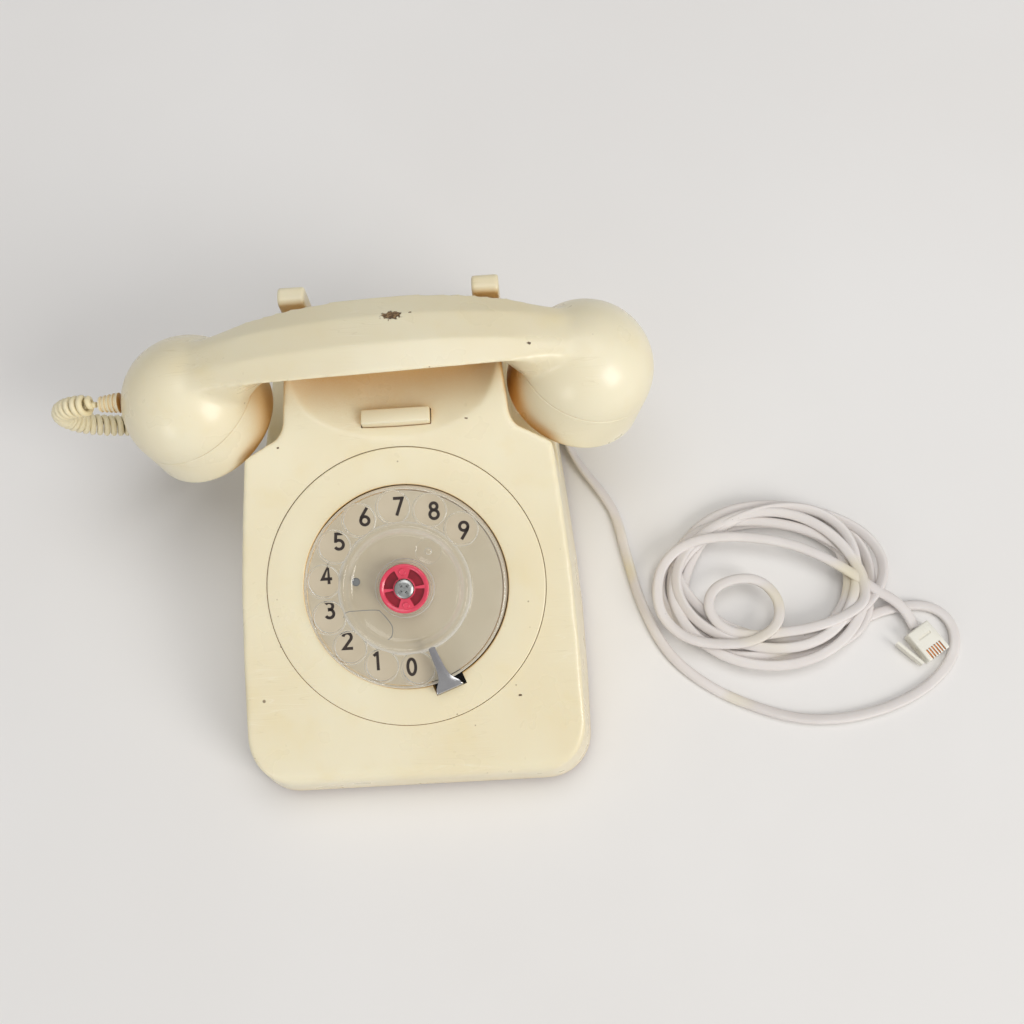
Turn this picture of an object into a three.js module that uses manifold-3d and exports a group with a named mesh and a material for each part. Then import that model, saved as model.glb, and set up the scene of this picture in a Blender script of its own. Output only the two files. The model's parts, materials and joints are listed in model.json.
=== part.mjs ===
// A desk telephone with a rotary dial: a sloping case with a cradle, a clear finger plate over a number
// plate, a handset on a curly cord, and a flat line cord that ends in a small plug.
// Millimetres, +Z up, front towards -Y. The origin is under the middle of the handset and the case's depth.
import * as THREE from "three";
import { mergeVertices } from "three/addons/utils/BufferGeometryUtils.js";
import Module from "manifold-3d";

const wasm = await Module();
wasm.setup();

// ---- driving dimensions ----
const GAP = 0.3; // between fixed pieces that meet
const RUNNING_GAP = 0.4; // between a moving piece and the hole that guides it
const STEEL = 1.5; // sheet metal of the base plate and the brackets

// case
const CASE_X = 4; // the case's centre line, because the handset lies a little to the left
const CASE_DEPTH = 216;
// Half of the case's width at its bottom edge, at stations from the front to the back.
const CASE_FLANK = [
  [-CASE_DEPTH / 2, 78.4], [-60, 79.3], [-25, 79], [0, 77.6], [27, 75.5], [60, 72.7], [CASE_DEPTH / 2, 69],
];
const CASE_BOTTOM = 4;
const CASE_TOP = 130; // above everything that the side outline leaves
const CASE_FRONT_CORNER_R = 21;
const CASE_REAR_CORNER_R = 16;
const CASE_DRAFT = 0.00116; // share of the width lost per millimetre of height
const WALL = 2.5;
const FACE_TILT = THREE.MathUtils.degToRad(22.6);
const FACE_Y = -29; // where the dial's axis meets the face
const FACE_Z = 61.8;
const FRONT_EDGE_R = 8;
const SHELF_Z = 40;
const SHOULDER = { y: 26.5, half: 70.5, r: 8 };
const NECK = { y: 36.3, half: 50.8, r: 9 };
const TOWER_HALF = 48;
const EAR_Y = 64.5;
const EAR_R = 2.5;
const CRADLE_REAR_Y = 88;
const TOWER_REAR_Y = 99;
const TOWER_REAR_DROP = 6;

// hollow under the handset
const SCOOP_Z = 87;
const SCOOP_HALF = 46.5;
const SCOOP_SAG_R = 160;
const SCOOP_LIP = 5.5;
const SCOOP_REAR_Y = 68;

// lugs behind the handset
const LUG = { x: 43, width: 12, front: 89.4, rear: 98.5, top: 110.7 };

// feet, base plate and case screws
const FOOT = { r: 9, x: 56, y: 86 };
const SCREW = { headR: 4, headHeight: 1.8, shankR: 1.5, length: 14, x: 60, y: 66 };
const BOSS_R = 5;
const BOARD = { x: 0, y: -56, width: 112, depth: 74, z: 9 };
const BOARD_POST_R = 3;
const INDUCTOR = { x: -28, y: -50, width: 26, depth: 22, height: 15 };
const CAPACITOR = { x: 22, y: -64, r: 7, length: 30 };
const TERMINALS = { x: 0, y: -30, width: 72, depth: 11, height: 9 };

// dial, measured from its axis and from the face
const BEZEL_R = 62;
const BEZEL_INNER_R = 45.5;
const BEZEL_PROUD = 0.8;
const BEZEL_DEPTH = 9;
const BEZEL_WALL = 2.5;
const NUMBER_PLATE_TOP = -0.9;
const NUMBER_PLATE_T = 1.3;
const FINGER_PLATE = { r: 44.5, bottom: 3, thickness: 2.5 };
const HOLE_R = 6.8;
const HOLE_CIRCLE_R = 36;
const HOLE_COUNT = 10;
const FIRST_HOLE_DEG = 43.1;
const HOLE_STEP_DEG = 25.83;
const CUP = { outer: 27.3, inner: 22.3, height: 2.5 };
const HUB_R = 10.7;
const HUB_T = 2.4;
const HUB_WINDOW = { inner: 5, outer: 8.9, sweep: 62, middles: [39, 147, 219, 327] };
const SHAFT_R = 4;
const SHAFT_BOTTOM = -24;
const HUB_SCREW_R = 3.9;
const STOP = { deg: 290.6, inner: 28.2, inner_width: 3, outer_width: 8, thickness: 1 };
const STOP_SLOT = { width: 14.5, depth: 4.5 };
const DIAL_FRAME_R = 44;
const DIAL_FRAME_T = 1.6;
const GEAR = { module: 1.5, wheelTeeth: 40, pinionTeeth: 8, thickness: 2.4, top: -11 };
const TRAIN_DEG = 205; // where the pinion stands round the dial's axis
const CAM_R = 9;
const DIAL_SPRING = { inner: 5.6, pitch: 2.6, turns: 3.5, thickness: 0.8, top: -15.5, height: 5 };
const GOVERNOR = { r: 9, length: 22, drumWall: 1.5, depth: -24, x: 20, v: 20 };

// handset, measured in its own frame: origin in the middle of the handle, local Z out of its back
const HANDSET_Y = 63.9;
const HANDSET_Z = 113.2;
const HANDSET_TILT = THREE.MathUtils.degToRad(9);
const HANDSET_YAW = THREE.MathUtils.degToRad(1.7); // it lies a little askew on the cradle
const HANDLE = { top: 12, thickness: 20.4, archR: 362, endX: 60, endDrop: 0.51, neckX: 52, neckR: 6 };
// The handle's cross-section: a flat back between two sloping edges over rounded sides.
const SECTION = { flat: 7.2, flatLoss: 0.4, half: 20.3, halfLoss: 3.9, edgeDrop: 3.3 };
const UNDERSIDE = { sideDrop: 11, sideIn: 6.3, bottomIn: 13, neckIn: 2, neckLength: 22 };
const BULB = { x: 89, z: -29.5, r: 31, tilt: THREE.MathUtils.degToRad(19) };
const MOUTH_SEAM = 0; // height of each cap's seam over the bulb's middle
const EAR_SEAM = 3;
const CAP = { r: 32, bottom: -19.8, rimR: 4.5 };
const HANDSET_HALF = BULB.x + BULB.r;
const HANDSET_WALL = 3;
const INSET = { r: 24, height: 13 };
const CAP_HOLE_R = 1.6;
const CAP_HOLE_CIRCLE_R = 11;
const CAP_HOLE_COUNT = 8;

// hook switch and recall button
const PLUNGER = { r: 3.6, x: 38, y: 78, bottom: 66 };
const HOOK_BAR_T = 4;
const SWITCH = { half: 24, bottom: 34, depth: 8, springsWidth: 26 };
const BUTTON = { width: 30.5, depth: 7, y: 41.4, top: 91.3, height: 13, travel: 3 };

// bell
const GONG = { x: 26.5, y: 64, r: 22, rimZ: 12, topZ: 27, wall: 1.5 };
const GONG_POST_R = 3;
const COIL = { r: 8, x: 10, y: 32, bottom: 8, top: 32 };
const HAMMER_PIVOT_Y = 44;
const HAMMER_Z = 20;
const HAMMER_BALL_R = 2.2;

// cords
const LINE_CORD = { width: 5, thickness: 2.5 };
const LINE_GLAND = { x: 35, z: 14, length: 20, r: 5.5, tipR: 3.6, flangeR: 7 };
const HANDSET_GLAND = { x: -35, z: 16, length: 14, r: 7, tipR: 5.2, flangeR: 8.5 };
const CURLY_R = 5.2;
const RELIEF = { length: 9, r: 4.6, tipR: 3.4, drop: -24 };
const LINE_COIL = { x: 172, y: -18, outer: 52, inner: 28, height: 12 };
const PLUG = { x: 245.3, y: -54.2, width: 12.6, length: 16, height: 7, deg: -58 };
const LATCH = { width: 1.4, length: 15, height: 4, lean: 12 };

// Where the line cord lies, from its gland to the coil.
const LINE_ROUTE = [
  [39, 128.7, 13.9], [39.4, 133, 13], [42.5, 138, 9.5], [51, 140, 5], [61.5, 138, 2.2], [71, 132, 1.5],
  [78.5, 122.5, 1.5], [82.5, 109, 1.5], [81.7, 92, 1.5], [80.3, 76, 1.5], [80.7, 62, 1.5],
  [86.5, 48, 1.5], [95.9, 33.5, 1.5], [102.6, 20, 1.5], [106.2, 0, 1.5], [112, -27, 1.5],
  [123.3, -52.5, 1.5], [142, -70, 1.5], [163.1, -80.9, 1.5], [182, -86.8, 1.5], [202, -87.7, 1.5],
  [223.7, -83.5, 1.5], [242.5, -75, 1.5], [255.5, -63.3, 1.5], [259.7, -52, 1.5], [257.3, -42, 1.5],
  [250, -36.5, 1.5], [240.7, -35.2, 1.5], [230.8, -36.6, 1.5], [221.9, -39.1, 1.5],
];
// Where the line cord lies between the coil and the plug.
const TAIL_ROUTE = [
  [224.6, -28.6, 7.6], [230, -31.5, 6.6], [236, -36.8, 5.4], [239.3, -42.4, 3.9], [240.8, -46.7, 3.5],
];
// The axis of the curly cord, from the handset's relief to the gland on the case.
const CURLY_ROUTE = [
  [-130.8, 56.3, 89.4], [-136, 56.3, 89.2], [-143.5, 57, 86.5], [-150, 58.3, 80], [-151.5, 59.5, 71.5],
  [-147.5, 60.2, 63.5], [-139, 61, 57.5], [-129, 63, 51.5], [-119, 67, 42], [-111, 73, 30],
  [-104, 81, 17.5], [-96, 92, 8.5], [-87, 106, 5.4], [-75, 121, 5.4], [-61, 133, 5.6],
  [-47, 140, 7.6], [-35.5, 137.5, 12], [-31.2, 130, 15.4], [-31, 122.8, 16],
];

// ---- materials ----
const material = (color, roughness, metalness) =>
  new THREE.MeshStandardMaterial({ color, roughness, metalness });
const ivory = () => material(0xe8dfbd, 0.32, 0);
const clear = () => material(0xdfe2dc, 0.08, 0);
const red = () => material(0xc8323f, 0.35, 0);
const numberGrey = () => material(0xcfc8b4, 0.5, 0);
const steel = () => material(0xb9bcc0, 0.35, 1);
const chrome = () => material(0xdcdee0, 0.12, 1);
const brass = () => material(0xc9a24e, 0.3, 1);
const blackPlastic = () => material(0x222325, 0.5, 0);
const greyPlastic = () => material(0x7c7f82, 0.55, 0);
const greenBoard = () => material(0x3f6b45, 0.6, 0);
const copperWire = () => material(0xb0632f, 0.4, 0.6);
const rubber = () => material(0x2c2b2a, 0.85, 0);
const whiteCord = () => material(0xe6dcd6, 0.5, 0);
const whitePlastic = () => material(0xece8dc, 0.35, 0);

// ---- geometry helpers ----
const root = new THREE.Group();

// A closed geometry as a manifold solid.
function solid(geometry) {
  const bare = geometry.clone();
  bare.deleteAttribute("normal");
  bare.deleteAttribute("uv");
  const merged = mergeVertices(bare, 1e-4);
  return new wasm.Manifold(
    new wasm.Mesh({
      numProp: 3,
      vertProperties: merged.attributes.position.array,
      triVerts: new Uint32Array(merged.index.array),
    }),
  );
}

// A manifold solid as a geometry.
function geometryOf(body) {
  const mesh = body.getMesh();
  const geometry = new THREE.BufferGeometry();
  geometry.setAttribute("position", new THREE.BufferAttribute(mesh.vertProperties, mesh.numProp));
  geometry.setIndex(new THREE.BufferAttribute(mesh.triVerts, 1));
  geometry.computeVertexNormals();
  return geometry;
}

// Adds one named piece to a group.
function piece(group, name, shape, look) {
  const geometry = shape.isBufferGeometry ? shape : geometryOf(shape);
  const mesh = new THREE.Mesh(geometry, look);
  mesh.name = name;
  group.add(mesh);
  return mesh;
}

function box(x, y, z) {
  const [x0, x1] = x;
  const [y0, y1] = y;
  const [z0, z1] = z;
  const geometry = new THREE.BoxGeometry(x1 - x0, y1 - y0, z1 - z0);
  return geometry.translate((x0 + x1) / 2, (y0 + y1) / 2, (z0 + z1) / 2);
}

// A box whose middle is at x, y.
function boxAt(x, y, width, depth, z) {
  return box([x - width / 2, x + width / 2], [y - depth / 2, y + depth / 2], z);
}

function cylinder(r, z0, z1, x = 0, y = 0, segments = 20) {
  const geometry = new THREE.CylinderGeometry(r, r, z1 - z0, segments);
  return geometry.rotateX(Math.PI / 2).translate(x, y, (z0 + z1) / 2);
}

// Turns a profile of [radius, height] points round Z. It starts and ends on the axis or closes on itself.
function turned(profile, segments = 32) {
  const points = profile.map(([r, h]) => new THREE.Vector2(r, h));
  const closed = profile[0][0] > 0;
  if (THREE.ShapeUtils.area(points) < 0) points.reverse();
  if (closed) points.push(points[0].clone());
  return new THREE.LatheGeometry(points, segments).rotateX(Math.PI / 2);
}

// A shape with straight sides from corners of [x, y, radius], each corner rounded by an arc.
function rounded(corners) {
  const shape = new THREE.Shape();
  const count = corners.length;
  corners.forEach(([x, y, r = 0], i) => {
    const here = new THREE.Vector2(x, y);
    const [beforeX, beforeY] = corners[(i + count - 1) % count];
    const [afterX, afterY] = corners[(i + 1) % count];
    const before = new THREE.Vector2(beforeX, beforeY).sub(here).normalize();
    const after = new THREE.Vector2(afterX, afterY).sub(here).normalize();
    const turn = before.cross(after);
    if (r <= 0 || Math.abs(turn) < 1e-6) {
      i === 0 ? shape.moveTo(x, y) : shape.lineTo(x, y);
      return;
    }
    const half = Math.acos(THREE.MathUtils.clamp(before.dot(after), -1, 1)) / 2;
    const start = here.clone().addScaledVector(before, r / Math.tan(half));
    const middle = before.clone().add(after).normalize();
    const centre = here.clone().addScaledVector(middle, r / Math.sin(half));
    const end = here.clone().addScaledVector(after, r / Math.tan(half));
    i === 0 ? shape.moveTo(start.x, start.y) : shape.lineTo(start.x, start.y);
    const from = start.clone().sub(centre).angle();
    const to = end.clone().sub(centre).angle();
    shape.absarc(centre.x, centre.y, r, from, to, turn > 0);
  });
  shape.closePath();
  return shape;
}

// A shape in X and Y, raised along Z.
function raised(shape, z0, z1, curveSegments = 4) {
  const options = { depth: z1 - z0, bevelEnabled: false, curveSegments };
  return new THREE.ExtrudeGeometry(shape, options).translate(0, 0, z0);
}

// A shape drawn in Y and Z, drawn out along X.
function acrossX(shape, x0, x1, curveSegments = 4) {
  const axes = new THREE.Matrix4().makeBasis(
    new THREE.Vector3(0, 1, 0),
    new THREE.Vector3(0, 0, 1),
    new THREE.Vector3(1, 0, 0),
  );
  return raised(shape, x0, x1, curveSegments).applyMatrix4(axes);
}

// A shape drawn in X and Z, drawn out along Y.
function acrossY(shape, y0, y1, curveSegments = 4) {
  return raised(shape, -y1, -y0, curveSegments).rotateX(Math.PI / 2);
}

// A round or flat section swept along points.
function swept(points, halfWidth, halfThickness, sides, steps) {
  const path = new THREE.CatmullRomCurve3(points.map((p) => new THREE.Vector3(...p)));
  const section = new THREE.Shape();
  for (let i = 0; i < sides; i += 1) {
    const angle = ((i + 0.5) * 2 * Math.PI) / sides;
    const x = halfThickness * Math.cos(angle);
    const y = halfWidth * Math.sin(angle);
    i === 0 ? section.moveTo(x, y) : section.lineTo(x, y);
  }
  section.closePath();
  return new THREE.ExtrudeGeometry(section, { steps, extrudePath: path, bevelEnabled: false });
}

const polar = (r, deg) => [
  r * Math.cos(THREE.MathUtils.degToRad(deg)),
  r * Math.sin(THREE.MathUtils.degToRad(deg)),
];

// ---- case ----
const faceZ = (y, inset = 0) =>
  FACE_Z + (y - FACE_Y) * Math.tan(FACE_TILT) - inset / Math.cos(FACE_TILT);
// The height of the handle's back above the handset's origin.
const handleTop = (x) =>
  HANDLE.top - (x * x) / (2 * HANDLE.archR) - HANDLE.endDrop * (x / HANDLE.endX) ** 4;
// The underside of the handle over the ears, which the cradle follows.
const handleUnderZ = (y) => {
  const drop = HANDLE.thickness - handleTop(TOWER_HALF + CASE_X);
  const middleY = HANDSET_Y - drop * Math.sin(HANDSET_TILT);
  const middleZ = HANDSET_Z - drop * Math.cos(HANDSET_TILT);
  return middleZ - (y - middleY) * Math.tan(HANDSET_TILT);
};

// The case seen from above at its bottom edge, or that outline drawn in by the inset.
function casePlan(inset) {
  const last = CASE_FLANK.length - 1;
  const right = CASE_FLANK.map(([y, half], i) => {
    const cornerR = { 0: CASE_FRONT_CORNER_R, [last]: CASE_REAR_CORNER_R }[i] ?? inset;
    return [half - inset, y - Math.sign(y) * (i === 0 || i === last ? inset : 0), cornerR - inset];
  });
  const left = right.map(([x, y, r]) => [-x, y, r]).reverse();
  return rounded([...right, ...left]);
}

// Everything inside the case's outer surface, or inside a surface that lies the inset deeper.
function caseBody(inset) {
  const rear = CASE_DEPTH / 2;
  const bottom = inset > 0 ? CASE_BOTTOM - 1 : CASE_BOTTOM;
  const cradleZ = handleUnderZ(CRADLE_REAR_Y) - 3 * GAP - inset;
  const earZ = faceZ(EAR_Y, inset);
  const side = rounded([
    [-rear + inset, bottom],
    [rear - inset, bottom],
    [rear - inset, SHELF_Z - inset],
    [TOWER_REAR_Y - inset, cradleZ - TOWER_REAR_DROP, 3],
    [CRADLE_REAR_Y, cradleZ],
    [EAR_Y, earZ, EAR_R],
    [-rear + inset, faceZ(-rear + inset, inset), FRONT_EDGE_R - inset],
  ]);
  const block = raised(casePlan(inset), bottom, CASE_TOP);
  const points = block.attributes.position;
  for (let i = 0; i < points.count; i += 1) {
    points.setX(i, points.getX(i) * (1 - CASE_DRAFT * (points.getZ(i) - CASE_BOTTOM)));
  }
  const outside = Math.max(...CASE_FLANK.map(([, half]) => half)) + inset;
  const notch = rounded([
    [outside, SHOULDER.y - inset],
    [SHOULDER.half - inset, SHOULDER.y - inset, SHOULDER.r],
    [NECK.half - inset, NECK.y - inset, NECK.r],
    [TOWER_HALF - inset, EAR_Y - inset],
    [TOWER_HALF - inset, CASE_DEPTH],
    [outside, CASE_DEPTH],
  ]);
  const right = solid(raised(notch, SHELF_Z - inset, CASE_TOP + 1));
  const across = solid(acrossX(side, -outside, outside));
  return across.intersect(solid(block)).subtract(right).subtract(right.mirror([1, 0, 0]));
}

// The hollow under the handset, or that hollow grown by a wall.
function scoop(grow) {
  const half = SCOOP_HALF + grow;
  const steps = 14;
  const shape = new THREE.Shape();
  for (let i = 0; i <= steps; i += 1) {
    const share = (2 * i) / steps - 1;
    const x = share * half;
    const rise = (x * x) / (2 * SCOOP_SAG_R) + SCOOP_LIP * share ** 12;
    const z = SCOOP_Z - grow + rise;
    i === 0 ? shape.moveTo(x, z) : shape.lineTo(x, z);
  }
  shape.lineTo(half, CASE_TOP);
  shape.lineTo(-half, CASE_TOP);
  shape.closePath();
  return solid(acrossY(shape, 0, SCOOP_REAR_Y + grow));
}

const caseGroup = new THREE.Group();
caseGroup.position.x = CASE_X;
root.add(caseGroup);

// The dial's frame: its origin where the axis meets the face, local Z out of the face.
const dialGroup = new THREE.Group();
dialGroup.position.set(0, FACE_Y, FACE_Z);
dialGroup.rotation.x = FACE_TILT;
caseGroup.add(dialGroup);
dialGroup.updateMatrix();

function caseShell() {
  const cavity = caseBody(WALL).subtract(scoop(WALL));
  let shell = caseBody(0).subtract(scoop(0)).subtract(cavity);
  for (const side of [-1, 1]) {
    const lug = rounded([
      [LUG.front, handleUnderZ(CRADLE_REAR_Y) - 2 * WALL],
      [LUG.rear, handleUnderZ(CRADLE_REAR_Y) - 4 * WALL],
      [LUG.rear, LUG.top, 3],
      [LUG.front, LUG.top, 3],
    ]);
    const x = side * LUG.x;
    shell = shell.add(solid(acrossX(lug, x - LUG.width / 2, x + LUG.width / 2)));
    const bossBottom = CASE_BOTTOM + STEEL + 2 * GAP;
    const threadTop = CASE_BOTTOM + SCREW.length + 1;
    const boss = cylinder(BOSS_R, bossBottom, SHELF_Z - WALL / 2, side * SCREW.x, SCREW.y, 16);
    const thread = cylinder(SCREW.shankR + GAP, 0, threadTop, side * SCREW.x, SCREW.y, 12);
    const boreR = PLUNGER.r + RUNNING_GAP;
    const bore = cylinder(boreR, PLUNGER.bottom, CASE_TOP, side * PLUNGER.x, PLUNGER.y, 20);
    shell = shell.add(solid(boss)).subtract(solid(thread)).subtract(solid(bore));
  }
  const opening = cylinder(BEZEL_R + GAP, -BEZEL_DEPTH, 2 * BEZEL_DEPTH, 0, 0, 48);
  opening.applyMatrix4(dialGroup.matrix);
  const clearance = 2 * RUNNING_GAP;
  const window = [SCOOP_Z - 2 * WALL, SCOOP_Z + 2 * WALL];
  const slot = boxAt(0, BUTTON.y, BUTTON.width + clearance, BUTTON.depth + clearance, window);
  const rear = CASE_DEPTH / 2;
  shell = shell.subtract(solid(opening)).subtract(solid(slot));
  for (const gland of [LINE_GLAND, HANDSET_GLAND]) {
    const hole = cylinder(gland.r + GAP, -2 * WALL, 2 * WALL, 0, 0, 20);
    shell = shell.subtract(solid(hole.rotateX(Math.PI / 2).translate(gland.x, rear, gland.z)));
  }
  return shell;
}
piece(caseGroup, "case_shell", caseShell(), ivory());

// ---- base ----
function basePlate() {
  const plan = casePlan(WALL + 2 * GAP);
  let plate = solid(raised(plan, CASE_BOTTOM, CASE_BOTTOM + STEEL));
  for (const side of [-1, 1]) {
    const hole = cylinder(SCREW.shankR + GAP, 0, BOARD.z, side * SCREW.x, SCREW.y, 12);
    const x = side * GONG.x;
    const post = cylinder(GONG_POST_R, CASE_BOTTOM, GONG.topZ - GONG.wall - GAP, x, GONG.y, 12);
    const thread = cylinder(SCREW.shankR + GAP, GONG.topZ - SCREW.length / 2, GONG.topZ, x, GONG.y, 12);
    plate = plate.subtract(solid(hole)).add(solid(post)).subtract(solid(thread));
    for (const end of [-1, 1]) {
      const postX = BOARD.x + side * (BOARD.width / 2 - 2 * BOARD_POST_R);
      const postY = BOARD.y + end * (BOARD.depth / 2 - 2 * BOARD_POST_R);
      plate = plate.add(solid(cylinder(BOARD_POST_R, CASE_BOTTOM, BOARD.z - GAP, postX, postY, 12)));
    }
  }
  return plate;
}
piece(caseGroup, "base_plate", basePlate(), steel());

for (const [end, sign] of [["front", -1], ["rear", 1]]) {
  for (const [side, way] of [["left", -1], ["right", 1]]) {
    const top = CASE_BOTTOM - GAP;
    const foot = turned([[0, 0], [FOOT.r - 1, 0], [FOOT.r, 1], [FOOT.r - 1.5, top], [0, top]], 20);
    piece(caseGroup, `foot_${end}_${side}`, foot.translate(way * FOOT.x, sign * FOOT.y, 0), rubber());
  }
}
for (const [side, way] of [["left", -1], ["right", 1]]) {
  const head = CASE_BOTTOM - GAP;
  const screw = turned([
    [0, head - SCREW.headHeight],
    [SCREW.headR, head - SCREW.headHeight],
    [SCREW.headR, head],
    [SCREW.shankR, head],
    [SCREW.shankR, head + SCREW.length],
    [0, head + SCREW.length],
  ], 16);
  piece(caseGroup, `case_screw_${side}`, screw.translate(way * SCREW.x, SCREW.y, 0), steel());
}

// ---- electrical parts on the base ----
const boardTop = BOARD.z + STEEL;
const onBoard = boardTop + GAP;
const board = boxAt(BOARD.x, BOARD.y, BOARD.width, BOARD.depth, [BOARD.z, boardTop]);
piece(caseGroup, "circuit_board", board, greenBoard());
const inductorZ = [onBoard, onBoard + INDUCTOR.height];
const inductor = boxAt(INDUCTOR.x, INDUCTOR.y, INDUCTOR.width, INDUCTOR.depth, inductorZ);
piece(caseGroup, "induction_coil", inductor, copperWire());
const capacitorHalf = CAPACITOR.length / 2;
const capacitor = cylinder(CAPACITOR.r, -capacitorHalf, capacitorHalf, 0, 0, 20).rotateY(Math.PI / 2);
capacitor.translate(CAPACITOR.x, CAPACITOR.y, onBoard + CAPACITOR.r);
piece(caseGroup, "capacitor", capacitor, greyPlastic());
const blockZ = [onBoard, onBoard + TERMINALS.height];
const block = boxAt(TERMINALS.x, TERMINALS.y, TERMINALS.width, TERMINALS.depth, blockZ);
piece(caseGroup, "terminal_block", block, blackPlastic());

// ---- dial ----
const plateTop = FINGER_PLATE.bottom + FINGER_PLATE.thickness;
const cupTop = plateTop + CUP.height;
const hubBottom = plateTop + GAP;

function bezel() {
  const lipR = BEZEL_R + WALL;
  const lipTop = -WALL - 2 * GAP;
  const lipBottom = lipTop - STEEL;
  const ring = turned([
    [BEZEL_INNER_R, -BEZEL_DEPTH],
    [BEZEL_INNER_R + BEZEL_WALL, -BEZEL_DEPTH],
    [BEZEL_INNER_R + BEZEL_WALL, lipBottom],
    [lipR, lipBottom],
    [lipR, lipTop],
    [BEZEL_R, lipTop],
    [BEZEL_R, BEZEL_PROUD],
    [BEZEL_INNER_R, BEZEL_PROUD],
  ], 48);
  const slot = box(
    [BEZEL_INNER_R - 1, BEZEL_INNER_R + STOP_SLOT.depth],
    [-STOP_SLOT.width / 2, STOP_SLOT.width / 2],
    [-BEZEL_DEPTH + BEZEL_WALL, 2 * BEZEL_PROUD],
  );
  return solid(ring).subtract(solid(slot.rotateZ(THREE.MathUtils.degToRad(STOP.deg))));
}
piece(dialGroup, "dial_bezel", bezel(), ivory());

const platePart = [NUMBER_PLATE_TOP - NUMBER_PLATE_T, NUMBER_PLATE_TOP];
const shaftHole = SHAFT_R + RUNNING_GAP;
const ringOf = (inner, outer, z0, z1, segments) =>
  turned([[inner, z0], [outer, z0], [outer, z1], [inner, z1]], segments);
piece(dialGroup, "number_plate", ringOf(shaftHole, BEZEL_INNER_R - GAP, ...platePart, 48), numberGrey());
const frameTop = -BEZEL_DEPTH + DIAL_FRAME_T;

// The trapezoid teeth of a wheel or pinion, with room to mesh.
function gearShape(teeth, boreR) {
  const pitchR = (GEAR.module * teeth) / 2;
  const tipR = pitchR + 0.7 * GEAR.module;
  const rootR = pitchR - GEAR.module;
  const step = 360 / teeth;
  const shape = new THREE.Shape();
  for (let i = 0; i < teeth; i += 1) {
    const corners = [[rootR, -0.32], [tipR, -0.12], [tipR, 0.12], [rootR, 0.32]];
    corners.forEach(([r, share], k) => {
      const [x, y] = polar(r, (i + share) * step);
      i + k === 0 ? shape.moveTo(x, y) : shape.lineTo(x, y);
    });
  }
  shape.closePath();
  if (boreR > 0) shape.holes.push(new THREE.Path().absarc(0, 0, boreR, 0, 2 * Math.PI, true));
  return shape;
}
const gearBottom = GEAR.top - GEAR.thickness;
const meshDistance = (GEAR.module * (GEAR.wheelTeeth + GEAR.pinionTeeth)) / 2 + GAP;
const [pinionX, pinionY] = polar(meshDistance, TRAIN_DEG);
const arborR = 1.5;

function dialFrame() {
  const disc = solid(ringOf(shaftHole, DIAL_FRAME_R, -BEZEL_DEPTH, frameTop, 40));
  const hole = cylinder(arborR + RUNNING_GAP, -2 * BEZEL_DEPTH, 0, pinionX, pinionY, 12);
  return disc.subtract(solid(hole));
}
piece(dialGroup, "dial_frame", dialFrame(), steel());

function fingerPlate() {
  const disc = turned([
    [shaftHole, FINGER_PLATE.bottom],
    [FINGER_PLATE.r, FINGER_PLATE.bottom],
    [FINGER_PLATE.r, plateTop],
    [CUP.outer, plateTop],
    [CUP.outer, cupTop],
    [CUP.inner, cupTop],
    [CUP.inner, plateTop],
    [shaftHole, plateTop],
  ], 48);
  let plate = solid(disc);
  for (let i = 0; i < HOLE_COUNT; i += 1) {
    const [x, y] = polar(HOLE_CIRCLE_R, FIRST_HOLE_DEG + i * HOLE_STEP_DEG);
    plate = plate.subtract(solid(cylinder(HOLE_R, 0, 2 * cupTop, x, y, 12)));
  }
  return plate;
}
piece(dialGroup, "finger_plate", fingerPlate(), clear());

function dialHub() {
  let hub = solid(ringOf(shaftHole, HUB_R, hubBottom, hubBottom + HUB_T, 32));
  for (const middle of HUB_WINDOW.middles) {
    const start = THREE.MathUtils.degToRad(middle - HUB_WINDOW.sweep / 2);
    const end = THREE.MathUtils.degToRad(middle + HUB_WINDOW.sweep / 2);
    const shape = new THREE.Shape();
    shape.absarc(0, 0, HUB_WINDOW.outer, start, end, false);
    shape.absarc(0, 0, HUB_WINDOW.inner, end, start, true);
    shape.closePath();
    hub = hub.subtract(solid(raised(shape, plateTop, cupTop + HUB_T)));
  }
  return hub;
}
piece(dialGroup, "dial_hub", dialHub(), red());

const shaftTop = hubBottom + HUB_T;
const screwHoleBottom = shaftTop - SCREW.length / 2;
const shaft = turned([
  [0, SHAFT_BOTTOM],
  [SHAFT_R, SHAFT_BOTTOM],
  [SHAFT_R, shaftTop],
  [SCREW.shankR + GAP, shaftTop],
  [SCREW.shankR + GAP, screwHoleBottom],
  [0, screwHoleBottom],
], 24);
piece(dialGroup, "dial_shaft", shaft, steel());

function hubScrew() {
  const head = shaftTop + GAP;
  const body = turned([
    [0, screwHoleBottom + 1],
    [SCREW.shankR, screwHoleBottom + 1],
    [SCREW.shankR, head],
    [HUB_SCREW_R, head],
    [HUB_SCREW_R, head + 0.8],
    [0, head + 1.6],
  ], 20);
  const slotHalf = 0.5;
  const deep = [head + 0.7, head + 3];
  const first = solid(box([-HUB_SCREW_R, HUB_SCREW_R], [-slotHalf, slotHalf], deep));
  const second = solid(box([-slotHalf, slotHalf], [-HUB_SCREW_R, HUB_SCREW_R], deep));
  return solid(body).subtract(first).subtract(second);
}
piece(dialGroup, "hub_screw", hubScrew(), steel());

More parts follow.
